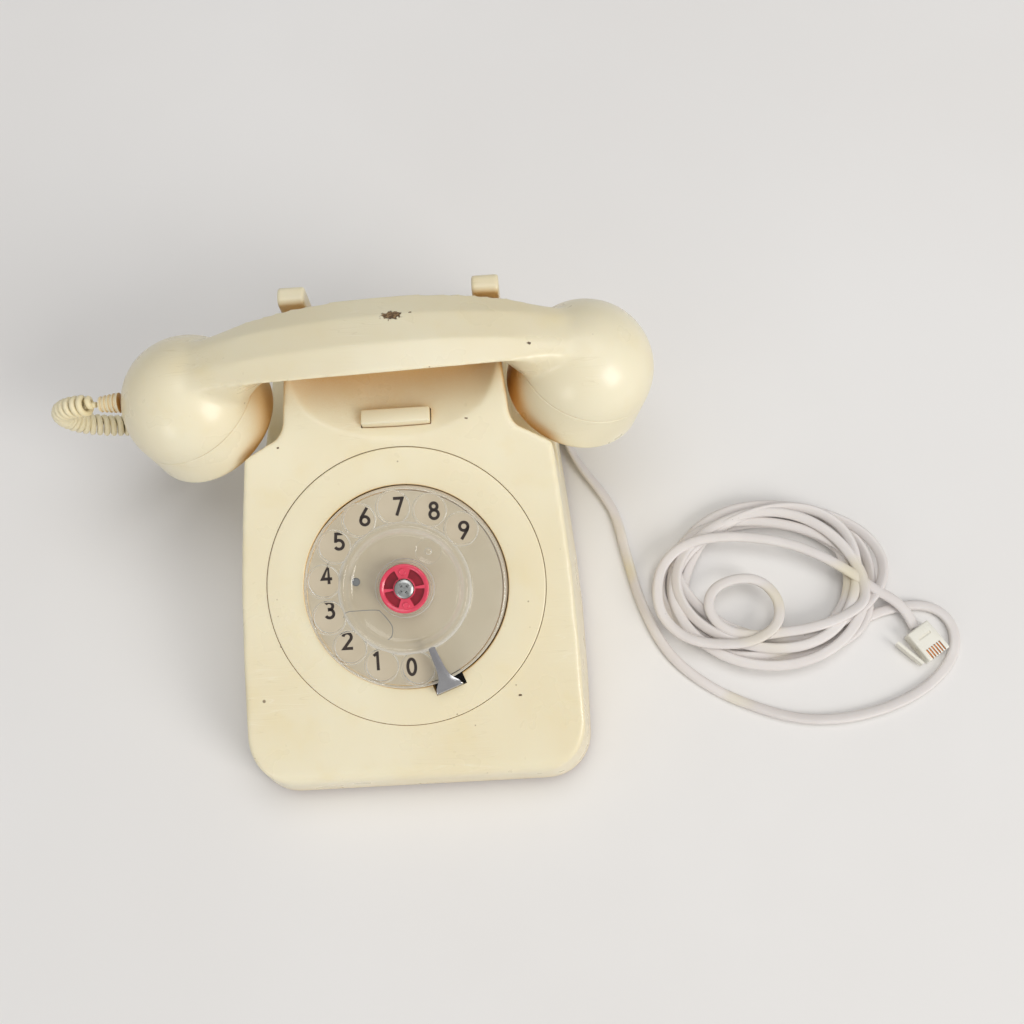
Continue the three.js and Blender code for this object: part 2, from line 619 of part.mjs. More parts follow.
function fingerStop() {
  const outer = BEZEL_INNER_R + STOP_SLOT.depth - 2 * GAP;
  const bottom = plateTop + 1;
  const arm = new THREE.Shape([
    new THREE.Vector2(STOP.inner, -STOP.inner_width / 2),
    new THREE.Vector2(outer, -STOP.outer_width / 2),
    new THREE.Vector2(outer, STOP.outer_width / 2),
    new THREE.Vector2(STOP.inner, STOP.inner_width / 2),
  ]);
  const half = STOP.outer_width / 2 - 0.5;
  const legInner = outer - 2 * STOP.thickness;
  const legBottom = -BEZEL_DEPTH + 2 * BEZEL_WALL;
  const leg = box([legInner, outer], [-half, half], [legBottom, bottom + STOP.thickness]);
  const stop = solid(raised(arm, bottom, bottom + STOP.thickness)).add(solid(leg));
  return stop.rotate([0, 0, STOP.deg]);
}
piece(dialGroup, "finger_stop", fingerStop(), chrome());

const wheel = raised(gearShape(GEAR.wheelTeeth, SHAFT_R + GAP), gearBottom, GEAR.top, 20);
piece(dialGroup, "dial_gear", wheel, brass());

// Pinion on its arbor, with the cam that works the pulse contacts.
const trainGroup = new THREE.Group();
trainGroup.position.set(pinionX, pinionY, 0);
dialGroup.add(trainGroup);
const camBottom = gearBottom - 4;
function pulsePinion() {
  const arbor = cylinder(arborR, camBottom - 4, frameTop - GAP, 0, 0, 12);
  const halfStep = 180 / GEAR.pinionTeeth;
  // A gap between two of its teeth faces the wheel's nearest tooth.
  const wheelStep = 360 / GEAR.wheelTeeth;
  const offset = (TRAIN_DEG / wheelStep - Math.round(TRAIN_DEG / wheelStep)) * 2 * halfStep;
  const turn = THREE.MathUtils.degToRad(TRAIN_DEG + 180 + halfStep + offset);
  const teeth = raised(gearShape(GEAR.pinionTeeth, 0), gearBottom, GEAR.top).rotateZ(turn);
  return solid(teeth).add(solid(arbor));
}
piece(trainGroup, "pulse_pinion", pulsePinion(), brass());
const cam = new THREE.Shape();
for (let i = 0; i < 3; i += 1) {
  const [start, end] = [120 * i, 120 * i + 70].map(THREE.MathUtils.degToRad);
  cam.absarc(0, 0, CAM_R, start, end, false);
  cam.absarc(0, 0, CAM_R - 2.5, end + 0.2, end + 0.6, false);
}
cam.closePath();
cam.holes.push(new THREE.Path().absarc(0, 0, arborR + GAP, 0, 2 * Math.PI, true));
piece(trainGroup, "pulse_cam", raised(cam, camBottom, camBottom + 1.6, 8), blackPlastic());
const contactY = CAM_R + 2;
const contacts = box([-7, 13], [-contactY - 5, -contactY], [camBottom - 3, camBottom + 4]);
piece(trainGroup, "pulse_contacts", contacts, brass());

// The flat spiral spring that turns the dial back.
function dialSpring() {
  const shape = new THREE.Shape();
  const steps = Math.round(DIAL_SPRING.turns * 14);
  const edge = (i, offset) => {
    const deg = (i / steps) * DIAL_SPRING.turns * 360;
    return polar(DIAL_SPRING.inner + (DIAL_SPRING.pitch * deg) / 360 + offset, deg);
  };
  shape.moveTo(...edge(0, 0));
  for (let i = 1; i <= steps; i += 1) shape.lineTo(...edge(i, 0));
  for (let i = steps; i >= 0; i -= 1) shape.lineTo(...edge(i, DIAL_SPRING.thickness));
  shape.closePath();
  return raised(shape, DIAL_SPRING.top - DIAL_SPRING.height, DIAL_SPRING.top);
}
piece(dialGroup, "dial_spring", dialSpring(), steel());

// The centrifugal governor that keeps the return speed steady, lying across the dial's axis.
const governorGroup = new THREE.Group();
governorGroup.position.set(GOVERNOR.x, GOVERNOR.v, GOVERNOR.depth);
governorGroup.rotation.y = Math.PI / 2;
dialGroup.add(governorGroup);
const rotorR = GOVERNOR.r - GOVERNOR.drumWall - RUNNING_GAP;
const governorHalf = GOVERNOR.length / 2;
const rotor = turned([
  [0, -governorHalf],
  [2, -governorHalf],
  [2, 0],
  [rotorR, 0],
  [rotorR, governorHalf - 4],
  [1.2, governorHalf - 4],
  [1.2, governorHalf],
  [0, governorHalf],
], 20);
piece(governorGroup, "governor_rotor", rotor, brass());
const drumHole = 1.2 + RUNNING_GAP;
const drum = turned([
  [GOVERNOR.r, -1],
  [GOVERNOR.r, governorHalf - 1],
  [drumHole, governorHalf - 1],
  [drumHole, governorHalf - 1 - GOVERNOR.drumWall],
  [GOVERNOR.r - GOVERNOR.drumWall, governorHalf - 1 - GOVERNOR.drumWall],
  [GOVERNOR.r - GOVERNOR.drumWall, -1],
], 24);
piece(governorGroup, "governor_drum", drum, steel());

// ---- hook switch and recall button ----
for (const [side, way] of [["left", -1], ["right", 1]]) {
  const top = handleUnderZ(PLUNGER.y) - 3 * GAP;
  const edge = PLUNGER.r / 3;
  const profile = [
    [0, PLUNGER.bottom],
    [PLUNGER.r, PLUNGER.bottom],
    [PLUNGER.r, top - edge],
    [PLUNGER.r - edge, top],
    [0, top],
  ];
  const plunger = turned(profile, 20).translate(way * PLUNGER.x, PLUNGER.y, 0);
  piece(caseGroup, `hook_plunger_${side}`, plunger, whitePlastic());
}
const barTop = PLUNGER.bottom - GAP;
const barHalf = PLUNGER.x + PLUNGER.r;
const hookBar = box([-barHalf, barHalf], [PLUNGER.y - 4, PLUNGER.y + 4], [barTop - HOOK_BAR_T, barTop]);
piece(caseGroup, "hook_bar", hookBar, greyPlastic());
const bracketTop = barTop - HOOK_BAR_T - 1;
function switchFrame() {
  const across = [-SWITCH.half, SWITCH.half];
  const front = PLUNGER.y - SWITCH.depth;
  const upright = box(across, [front, front + STEEL], [SWITCH.bottom, bracketTop]);
  const ledge = box(across, [front, PLUNGER.y + SWITCH.depth], [SWITCH.bottom, SWITCH.bottom + STEEL]);
  return solid(upright).add(solid(ledge));
}
piece(caseGroup, "switch_frame", switchFrame(), steel());
const springsBottom = SWITCH.bottom + STEEL + GAP;
const springs = boxAt(0, PLUNGER.y, SWITCH.springsWidth, SWITCH.depth, [springsBottom, bracketTop - 1]);
piece(caseGroup, "switch_springs", springs, brass());

const button = rounded([
  [-BUTTON.width / 2, BUTTON.top - BUTTON.height],
  [BUTTON.width / 2, BUTTON.top - BUTTON.height],
  [BUTTON.width / 2, BUTTON.top, 0.6],
  [-BUTTON.width / 2, BUTTON.top, 0.6],
]);
const buttonHalf = BUTTON.depth / 2;
const buttonBar = acrossY(button, BUTTON.y - buttonHalf, BUTTON.y + buttonHalf, 2);
piece(caseGroup, "recall_button", buttonBar, ivory());
const recallTop = BUTTON.top - BUTTON.height - BUTTON.travel - GAP;
piece(caseGroup, "recall_contacts", boxAt(0, BUTTON.y, 18, 9, [recallTop - 12, recallTop]), brass());

// ---- bell ----
for (const [side, way] of [["left", -1], ["right", 1]]) {
  const hole = SCREW.shankR + GAP;
  const dome = [
    [GONG.r, GONG.rimZ],
    [GONG.r - 1, GONG.topZ - 7],
    [GONG.r - 6, GONG.topZ - 1.5],
    [GONG.r / 2, GONG.topZ],
  ];
  const inside = dome.map(([r, z]) => [r - GONG.wall, z - (z > GONG.rimZ ? GONG.wall : 0)]).reverse();
  const profile = [...dome, [hole, GONG.topZ], [hole, GONG.topZ - GONG.wall], ...inside];
  piece(caseGroup, `gong_${side}`, turned(profile, 24).translate(way * GONG.x, GONG.y, 0), brass());
  const head = GONG.topZ + GAP;
  const screw = turned([
    [0, head - SCREW.length / 2 + 1],
    [SCREW.shankR, head - SCREW.length / 2 + 1],
    [SCREW.shankR, head],
    [SCREW.headR, head],
    [SCREW.headR, head + SCREW.headHeight],
    [0, head + SCREW.headHeight],
  ], 16);
  piece(caseGroup, `gong_screw_${side}`, screw.translate(way * GONG.x, GONG.y, 0), steel());
  const coil = cylinder(COIL.r, COIL.bottom, COIL.top, way * COIL.x, COIL.y, 16);
  piece(caseGroup, `ringer_coil_${side}`, coil, copperWire());
}
function ringerFrame() {
  const floor = COIL.bottom - GAP;
  const across = [-COIL.x - COIL.r, COIL.x + COIL.r];
  const rear = HAMMER_PIVOT_Y - 1.2;
  const top = COIL.top + GAP + STEEL;
  const plate = box(across, [COIL.y - COIL.r, rear], [floor - STEEL, floor]);
  const bridge = box(across, [COIL.y - COIL.r / 2, rear], [COIL.top + GAP, top]);
  const back = box(across, [COIL.y + COIL.r + GAP, rear], [floor - STEEL, top]);
  const room = 6;
  const window = box([-room, room], [COIL.y + COIL.r, HAMMER_PIVOT_Y], [HAMMER_Z - room, HAMMER_Z + room]);
  return solid(plate).add(solid(back)).add(solid(bridge)).subtract(solid(window));
}
piece(caseGroup, "ringer_frame", ringerFrame(), steel());
const ballY = GONG.y - HAMMER_PIVOT_Y;
function bellHammer() {
  const hub = cylinder(1.6, -5, 5, 0, 1, 12);
  const rod = box([-0.6, 0.6], [1, ballY], [-0.6, 0.6]);
  const ball = new THREE.SphereGeometry(HAMMER_BALL_R, 14, 10).translate(0, ballY, 0);
  return solid(hub).add(solid(rod)).add(solid(ball));
}
piece(caseGroup, "bell_hammer", bellHammer(), steel()).position.set(0, HAMMER_PIVOT_Y, HAMMER_Z);

// ---- handset ----
const handsetGroup = new THREE.Group();
handsetGroup.position.set(0, HANDSET_Y, HANDSET_Z);
handsetGroup.rotation.set(-HANDSET_TILT, 0, HANDSET_YAW, "ZYX");
root.add(handsetGroup);

// The frame of one end: its origin in the bulb's middle, local Z away from the cap.
function bulbFrame(way) {
  const frame = new THREE.Matrix4().makeRotationY(way * BULB.tilt);
  return frame.setPosition(way * BULB.x, 0, BULB.z);
}

const seamOf = (way) => (way > 0 ? EAR_SEAM : MOUTH_SEAM);

function bulbSolid() {
  const steps = 8;
  const profile = [[0, 0]];
  for (let i = 0; i <= steps; i += 1) profile.push(polar(BULB.r, (90 * i) / steps));
  profile[profile.length - 1][0] = 0;
  return turned(profile, 32);
}

// The arched bar between the bulbs, drawn through its cross-sections from one end to the other.
function handle() {
  const endX = BULB.x + 6;
  const seamZ = BULB.z - HANDSET_WALL;
  const stations = [];
  for (let i = -8; i <= 8; i += 1) stations.push((i * HANDLE.neckX) / 8);
  for (const x of [58, 61, 64, 68, 74, 82, endX]) {
    stations.push(x);
    stations.unshift(-x);
  }
  const rings = stations.map((x) => {
    const top = handleTop(x);
    const share = Math.min(Math.abs(x) / HANDLE.endX, 1.25) ** 2;
    const flat = SECTION.flat - SECTION.flatLoss * share;
    const half = SECTION.half - SECTION.halfLoss * share;
    const past = Math.max(Math.abs(x) - HANDLE.neckX, 0);
    const fillet = (past * past) / (2 * HANDLE.neckR);
    const neck = Math.min(past / UNDERSIDE.neckLength, 1);
    const edge = Math.max(top - SECTION.edgeDrop, seamZ + 2 * HANDSET_WALL);
    const side = Math.max(top - UNDERSIDE.sideDrop - fillet, seamZ + HANDSET_WALL);
    const under = Math.max(top - HANDLE.thickness - fillet, seamZ);
    const sideHalf = half - THREE.MathUtils.lerp(UNDERSIDE.sideIn, UNDERSIDE.neckIn / 2, neck);
    const underHalf = half - THREE.MathUtils.lerp(UNDERSIDE.bottomIn, UNDERSIDE.neckIn, neck);
    const right = [[flat, top], [half, edge], [sideHalf, side], [underHalf, under]];
    const left = right.map(([y, z]) => [-y, z]).reverse();
    return [...right, ...left].map(([y, z]) => [x, y, z]);
  });
  const count = rings[0].length;
  const index = [];
  for (let i = 0; i + 1 < rings.length; i += 1) {
    for (let k = 0; k < count; k += 1) {
      const next = (k + 1) % count;
      const [a, b, c, d] = [i * count + k, i * count + next, (i + 1) * count + next, (i + 1) * count + k];
      index.push(a, c, b, a, d, c);
    }
  }
  const end = (rings.length - 1) * count;
  for (let k = 1; k + 1 < count; k += 1) {
    index.push(0, k, k + 1);
    index.push(end, end + k + 1, end + k);
  }
  const geometry = new THREE.BufferGeometry();
  geometry.setAttribute("position", new THREE.BufferAttribute(new Float32Array(rings.flat(2)), 3));
  geometry.setIndex(index);
  return solid(geometry);
}

function handsetShell() {
  let shell = handle();
  for (const way of [-1, 1]) {
    const frame = bulbFrame(way);
    shell = shell.add(solid(bulbSolid().applyMatrix4(frame)));
  }
  for (const way of [-1, 1]) {
    const frame = bulbFrame(way);
    const room = BULB.r - HANDSET_WALL;
    const ceiling = room / 2;
    const seam = seamOf(way);
    const inner = room - seam / 2;
    const hollow = [[0, -BULB.r], [inner, -BULB.r], [inner, seam], [0.85 * room, ceiling], [0, ceiling]];
    const dome = turned(hollow, 32);
    const below = cylinder(2 * BULB.r, -2 * BULB.r, seam, 0, 0, 32);
    shell = shell.subtract(solid(dome.applyMatrix4(frame))).subtract(solid(below.applyMatrix4(frame)));
  }
  return shell;
}
piece(handsetGroup, "handset_shell", handsetShell(), ivory());

// A screwed cap with its ring of sound holes. It widens a little towards its rounded rim.
function cap(way) {
  const top = seamOf(way) - GAP;
  const bottom = CAP.bottom;
  const floor = bottom + HANDSET_WALL;
  const inner = BULB.r - HANDSET_WALL;
  const seamR = Math.sqrt(BULB.r ** 2 - seamOf(way) ** 2);
  const steps = 3;
  const profile = [[0, bottom]];
  for (let i = steps; i >= 0; i -= 1) {
    const [across, down] = polar(CAP.rimR, (90 * i) / steps);
    profile.push([CAP.r - CAP.rimR + across, bottom + CAP.rimR - down]);
  }
  profile.push([seamR, top], [inner, top], [inner, floor], [0, floor]);
  let body = solid(turned(profile, 28));
  for (let i = 0; i < CAP_HOLE_COUNT; i += 1) {
    const [x, y] = polar(CAP_HOLE_CIRCLE_R, (360 * i) / CAP_HOLE_COUNT);
    body = body.subtract(solid(cylinder(CAP_HOLE_R, bottom - 1, bottom + 2 * HANDSET_WALL, x, y, 8)));
  }
  return geometryOf(body).applyMatrix4(bulbFrame(way));
}
piece(handsetGroup, "mouth_cap", cap(-1), ivory());
piece(handsetGroup, "ear_cap", cap(1), ivory());

function inset(way) {
  const z0 = CAP.bottom + HANDSET_WALL + GAP;
  const z1 = z0 + INSET.height;
  const profile = [[0, z0], [INSET.r - 2, z0], [INSET.r, z0 + 2], [INSET.r, z1], [0, z1]];
  return turned(profile, 28).applyMatrix4(bulbFrame(way));
}
piece(handsetGroup, "transmitter_inset", inset(-1), steel());
piece(handsetGroup, "receiver_inset", inset(1), steel());

// The tapered relief where the curly cord leaves the mouthpiece end.
const reliefProfile = [[0, 0], [RELIEF.r, 0], [RELIEF.tipR, RELIEF.length], [0, RELIEF.length]];
const relief = turned(reliefProfile, 16).rotateY(-Math.PI / 2);
piece(handsetGroup, "handset_cord_relief", relief.translate(-HANDSET_HALF - GAP, 0, RELIEF.drop), ivory());

// ---- cords ----
// A tapered gland through the case's rear wall, with a flange inside.
function gland(spec) {
  const inside = WALL + GAP;
  const profile = [
    [0, -inside - STEEL],
    [spec.flangeR, -inside - STEEL],
    [spec.flangeR, -inside],
    [spec.r, -inside],
    [spec.r, 1],
    [spec.tipR, spec.length],
    [0, spec.length],
  ];
  return turned(profile, 20).rotateX(-Math.PI / 2).translate(spec.x, CASE_DEPTH / 2, spec.z);
}
piece(caseGroup, "line_cord_gland", gland(LINE_GLAND), whitePlastic());
piece(caseGroup, "handset_cord_gland", gland(HANDSET_GLAND), ivory());

const cordHalf = LINE_CORD.width / 2;
const cordHalfT = LINE_CORD.thickness / 2;
piece(root, "line_cord", swept(LINE_ROUTE, cordHalf, cordHalfT, 8, 64), whiteCord());
piece(root, "line_cord_tail", swept(TAIL_ROUTE, cordHalf, cordHalfT, 8, 6), whiteCord());
const coilRing = ringOf(LINE_COIL.inner, LINE_COIL.outer, 0, LINE_COIL.height, 32);
piece(root, "line_cord_coil", coilRing.translate(LINE_COIL.x, LINE_COIL.y, 0), whiteCord());
piece(root, "handset_cord", swept(CURLY_ROUTE, CURLY_R, CURLY_R, 8, 40), ivory());

// ---- plug ----
const plugGroup = new THREE.Group();
plugGroup.position.set(PLUG.x, PLUG.y, 0);
plugGroup.rotation.z = THREE.MathUtils.degToRad(PLUG.deg);
root.add(plugGroup);
const plugHalf = PLUG.length / 2;
piece(plugGroup, "line_plug", boxAt(0, 0, PLUG.length, PLUG.width, [0, PLUG.height]), whitePlastic());
const latchY = -PLUG.width / 2 - GAP - LATCH.width / 2;
const latch = boxAt(-LATCH.length / 2, 0, LATCH.length, LATCH.width, [1.5, 1.5 + LATCH.height]);
const lever = piece(plugGroup, "plug_latch", latch, whitePlastic());
lever.position.set(plugHalf - 1, latchY - LATCH.width, 0);
lever.rotation.z = THREE.MathUtils.degToRad(LATCH.lean);

export default root;
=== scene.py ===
# The looks of the rotary telephone, in metres, in the same frame as the CAD.
import json
import math

import bmesh
import bpy
import numpy as np
from mathutils import Matrix, Vector


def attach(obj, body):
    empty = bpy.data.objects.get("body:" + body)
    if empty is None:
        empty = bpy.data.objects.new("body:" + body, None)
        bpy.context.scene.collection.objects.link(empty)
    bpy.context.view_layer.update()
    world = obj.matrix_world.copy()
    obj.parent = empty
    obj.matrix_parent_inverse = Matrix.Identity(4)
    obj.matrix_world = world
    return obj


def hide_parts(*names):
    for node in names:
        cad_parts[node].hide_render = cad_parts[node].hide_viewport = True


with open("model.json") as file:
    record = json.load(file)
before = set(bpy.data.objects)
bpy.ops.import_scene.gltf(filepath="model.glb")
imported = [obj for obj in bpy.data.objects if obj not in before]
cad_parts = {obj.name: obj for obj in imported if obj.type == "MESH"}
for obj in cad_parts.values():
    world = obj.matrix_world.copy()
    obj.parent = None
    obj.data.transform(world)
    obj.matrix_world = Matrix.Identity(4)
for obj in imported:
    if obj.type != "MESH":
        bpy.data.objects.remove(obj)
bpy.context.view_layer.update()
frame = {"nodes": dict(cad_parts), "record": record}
scene = bpy.context.scene
MM = 0.001

# ---- camera ----
CAMERA_AT = (0.0674, -0.1801, 0.569)
CAMERA_RIGHT = (0.9979, -0.0471, -0.0462)
CAMERA_UP = (0.0600, 0.9394, 0.3378)
CAMERA_BACK = (0.02747, -0.3398, 0.9401)
LENS_MM = 41.98


def add_camera():
    data = bpy.data.cameras.new("camera")
    data.lens = LENS_MM
    data.sensor_width = 36
    data.clip_start = 0.01
    camera = bpy.data.objects.new("camera", data)
    columns = [Vector(v).normalized() for v in (CAMERA_RIGHT, CAMERA_UP, CAMERA_BACK)]
    turn = Matrix(columns).transposed()
    camera.matrix_world = Matrix.Translation(CAMERA_AT) @ turn.to_4x4()
    scene.collection.objects.link(camera)
    scene.camera = camera


add_camera()

# ---- sizes, in millimetres, as in the CAD ----
CASE_X = 4
CASE_DEPTH = 216
CASE_FLANK = [(-108, 78.4), (-60, 79.3), (-25, 79), (0, 77.6), (27, 75.5), (60, 72.7), (108, 69)]
CASE_BOTTOM = 4
CASE_TOP = 130
CASE_CORNERS = {0: 21, 6: 16}
CASE_DRAFT = 0.00116
WALL = 2.5
FACE_TILT = math.radians(22.6)
FACE_Y = -29
FACE_Z = 61.8
DIAL = Matrix.Translation((CASE_X, FACE_Y, FACE_Z)) @ Matrix.Rotation(FACE_TILT, 4, "X")
FRONT_EDGE_R = 8
SHELF_Z = 40
SHOULDER = (26.5, 70.5, 8)
NECK = (36.3, 50.8, 9)
TOWER_HALF = 48
EAR_Y = 64.5
CRADLE_REAR_Y = 88
TOWER_REAR_Y = 99
SCOOP = (87, 46.5, 160, 5.5, 68)
LUG_EDGE = 0.9
SHELL_GAP = 0.4
PLUNGER_X, PLUNGER_Y, PLUNGER_HOLE_R = 38, 78, 4
GLANDS = ((35, 14, 5.5), (-35, 16, 7))
BUTTON_Y, BUTTON_HALF_WIDTH, BUTTON_HALF_DEPTH = 41.4, 15.25, 3.5
BUTTON_BOTTOM, BUTTON_TOP, BUTTON_GAP = 78.3, 91.3, 0.4
LUG = {"x": 43, "width": 12, "front": 89.4, "rear": 98.5, "top": 110.7}
HANDSET_Y = 63.9
HANDSET_Z = 113.2
HANDSET_TILT = math.radians(9)
HANDSET_YAW = math.radians(1.7)
HANDLE_TOP, HANDLE_THICKNESS, HANDLE_ARCH_R = 12, 20.4, 362
HANDLE_END_X, HANDLE_END_DROP = 60, 0.51
NECK_X, NECK_R, NECK_LENGTH = 52, 6, 22
BULB_X, BULB_Z, BULB_R = 89, -29.5, 31
BULB_TILT = math.radians(19)
# Height of each cap's seam over the middle of its bulb: the mouthpiece is at -X.
SEAMS = {-1: 0, 1: 3}
CAP_R, CAP_BOTTOM, CAP_RIM_R = 32, -19.8, 4.5
CAP_WALL = 3
CAP_HOLE_R, CAP_HOLE_CIRCLE_R, CAP_HOLES = 1.6, 11, 8
RELIEF_R, RELIEF_TIP_R, RELIEF_LENGTH, RELIEF_Z = 4.6, 3.4, 9, -24
GAP = 0.3
BEZEL_R, BEZEL_INNER_R = 62, 45.5
BEZEL_DEPTH, BEZEL_WALL, BEZEL_PROUD = 9, 2.5, 0.8
SHAFT_HOLE_R = 4.4
HUB_WINDOWS_DEG = (39, 147, 219, 327)
STOP_DEG = 290.6
HOLE_R, HOLE_CIRCLE_R = 6.8, 36
FIRST_HOLE_DEG, HOLE_STEP_DEG = 43.1, 25.83


# ---- mesh helpers: meshes are made in millimetres and scaled when they are placed ----
def mesh_of(points, faces):
    mesh = bpy.data.meshes.new("part")
    mesh.from_pydata([tuple(p) for p in points], [], faces)
    work = bmesh.new()
    work.from_mesh(mesh)
    bmesh.ops.recalc_face_normals(work, faces=work.faces)
    work.to_mesh(mesh)
    work.free()
    return mesh


def moved(mesh, matrix):
    mesh.transform(matrix)
    if matrix.determinant() < 0:
        mesh.flip_normals()
    return mesh


def joined(meshes):
    work = bmesh.new()
    for mesh in meshes:
        work.from_mesh(mesh)
    out = bpy.data.meshes.new("part")
    work.to_mesh(out)
    work.free()
    return out


def evaluated(mesh, *steps):
    """The mesh after modifiers, each a (type, settings) pair."""
    holder = bpy.data.objects.new("holder", mesh)
    scene.collection.objects.link(holder)
    for kind, settings in steps:
        modifier = holder.modifiers.new(kind, kind)
        for key, value in settings.items():
            setattr(modifier, key, value)
    graph = bpy.context.evaluated_depsgraph_get()
    out = bpy.data.meshes.new_from_object(holder.evaluated_get(graph))
    bpy.data.objects.remove(holder)
    return out


def combined(mesh, other, operation="DIFFERENCE"):
    tool = bpy.data.objects.new("tool", other)
    scene.collection.objects.link(tool)
    out = evaluated(mesh, ("BOOLEAN", {"object": tool, "operation": operation, "solver": "MANIFOLD"}))
    bpy.data.objects.remove(tool)
    return out


def smoothed(mesh, voxel, rounds):
    """Remeshed on a grid and relaxed, which rounds its edges."""
    return evaluated(
        mesh,
        ("REMESH", {"mode": "VOXEL", "voxel_size": voxel, "adaptivity": 0}),
        ("SMOOTH", {"factor": 0.5, "iterations": rounds}),
    )


def bevelled(mesh, width, segments=2, angle=30):
    limit = {"limit_method": "ANGLE", "angle_limit": math.radians(angle)}
    return evaluated(mesh, ("BEVEL", {"width": width, "segments": segments, **limit}))


def rounded(corners, segments=10):
    """A closed outline from corners of (x, y, radius)."""
    out = []
    count = len(corners)
    for i, corner in enumerate(corners):
        x, y = corner[:2]
        r = corner[2] if len(corner) > 2 else 0
        here = Vector((x, y))
        before = (Vector(corners[i - 1][:2]) - here).normalized()
        after = (Vector(corners[(i + 1) % count][:2]) - here).normalized()
        turn = before.x * after.y - before.y * after.x
        if r <= 0 or abs(turn) < 1e-6:
            out.append((x, y))
            continue
        half = math.acos(max(-1, min(1, before.dot(after)))) / 2
        centre = here + (before + after).normalized() * (r / math.sin(half))
        start = here + before * (r / math.tan(half)) - centre
        end = here + after * (r / math.tan(half)) - centre
        sweep = math.atan2(start.x * end.y - start.y * end.x, start.dot(end))
        first = math.atan2(start.y, start.x)
        for k in range(segments + 1):
            angle = first + sweep * k / segments
            out.append((centre.x + r * math.cos(angle), centre.y + r * math.sin(angle)))
    return out


def prism(outline, z0, z1):
    n = len(outline)
    points = [(x, y, z) for z in (z0, z1) for x, y in outline]
    faces = [[i, (i + 1) % n, n + (i + 1) % n, n + i] for i in range(n)]
    return mesh_of(points, faces + [list(range(n)), list(range(n, 2 * n))])


def skinned(points, sides):
    """A tube through rings of points, closed at both ends."""
    faces = []
    for start in range(0, len(points) - sides, sides):
        for k in range(sides):
            after = (k + 1) % sides
            faces.append([start + k, start + after, start + sides + after, start + sides + k])
    faces += [list(range(sides)), list(range(len(points) - sides, len(points)))]
    return mesh_of(points, faces)


def across_x(outline, x0, x1):
    """An outline in Y and Z, drawn out along X."""
    axes = Matrix(((0, 0, 1, 0), (1, 0, 0, 0), (0, 1, 0, 0), (0, 0, 0, 1)))
    return moved(prism(outline, x0, x1), axes)


def across_y(outline, y0, y1):
    """An outline in X and Z, drawn out along Y."""
    axes = Matrix(((1, 0, 0, 0), (0, 0, 1, 0), (0, 1, 0, 0), (0, 0, 0, 1)))
    return moved(prism(outline, y0, y1), axes)


def box(x, y, z):
    return prism([(x[0], y[0]), (x[1], y[0]), (x[1], y[1]), (x[0], y[1])], z[0], z[1])


def lathe(profile, segments=96):
    """Turns (radius, height) points round Z. It starts and ends on the axis, or closes on itself."""
    closed = profile[0][0] > 1e-6
    rings = []
    points = []
    for r, z in profile:
        if r < 1e-6:
            rings.append([len(points)])
            points.append((0, 0, z))
            continue
        rings.append([len(points) + k for k in range(segments)])
        for k in range(segments):
            angle = 2 * math.pi * k / segments
            points.append((r * math.cos(angle), r * math.sin(angle), z))
    faces = []
    pairs = list(zip(rings, rings[1:]))
    if closed:
        pairs.append((rings[-1], rings[0]))
    for a, b in pairs:
        for k in range(segments):
            following = (k + 1) % segments
            corner = [a[k % len(a)], a[following % len(a)], b[following % len(b)], b[k % len(b)]]
            face = list(dict.fromkeys(corner))
            if len(face) > 2:
                faces.append(face)
    return mesh_of(points, faces)


def cylinder(r, z0, z1, x=0, y=0, segments=48):
    return moved(lathe([(0, z0), (r, z0), (r, z1), (0, z1)], segments), Matrix.Translation((x, y, 0)))


def arc(cx, cy, r, first, last, steps=8):
    """Points on an arc, in degrees."""
    out = []
    for k in range(steps + 1):
        angle = math.radians(first + (last - first) * k / steps)
        out.append((cx + r * math.cos(angle), cy + r * math.sin(angle)))
    return out


def polar(r, deg):
    return r * math.cos(math.radians(deg)), r * math.sin(math.radians(deg))


def spline(points, per_span):
    """Points on a smooth line through the given points."""
    knots = [Vector(p) for p in points]
    knots = [2 * knots[0] - knots[1], *knots, 2 * knots[-1] - knots[-2]]
    out = []
    for i in range(1, len(knots) - 2):
        a, b, c, d = knots[i - 1 : i + 3]
        for k in range(per_span):
            t = k / per_span
            square, cube = 2 * a - 5 * b + 4 * c - d, 3 * b - a - 3 * c + d
            out.append(0.5 * (2 * b + (c - a) * t + square * t**2 + cube * t**3))
    out.append(knots[-2])
    return out


def resampled(points, step):
    """The same line with evenly spaced points."""
    along = [0]
    for a, b in zip(points, points[1:]):
        along.append(along[-1] + (b - a).length)
    count = max(2, round(along[-1] / step) + 1)
    out = []
    i = 0
    for k in range(count):
        at = along[-1] * k / (count - 1)
        while i < len(points) - 2 and along[i + 1] < at:
            i += 1
        span = max(along[i + 1] - along[i], 1e-9)
        out.append(points[i].lerp(points[i + 1], (at - along[i]) / span))
    return out


def relaxed(points, rounds):
    """The line with its kinks eased; the ends stay."""
    out = [p.copy() for p in points]
    for _ in range(rounds):
        out = [out[0]] + [(a + 2 * b + c) / 4 for a, b, c in zip(out, out[1:], out[2:])] + [out[-1]]
    return out


def place(name, mesh, body, material, matrix=None, replaces=(), smooth=35):
    """Puts a millimetre mesh into the scene as a piece that rides on a body."""
    if matrix is not None:
        moved(mesh, matrix)
    mesh.transform(Matrix.Scale(MM, 4))
    mesh.name = name
    piece = bpy.data.objects.new(name, mesh)
    scene.collection.objects.link(piece)
    mesh.materials.clear()
    mesh.materials.append(material)
    if smooth:
        mesh.shade_smooth()
        mesh.set_sharp_from_angle(angle=math.radians(smooth))
    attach(piece, body)
    if replaces:
        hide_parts(*replaces)
    return piece


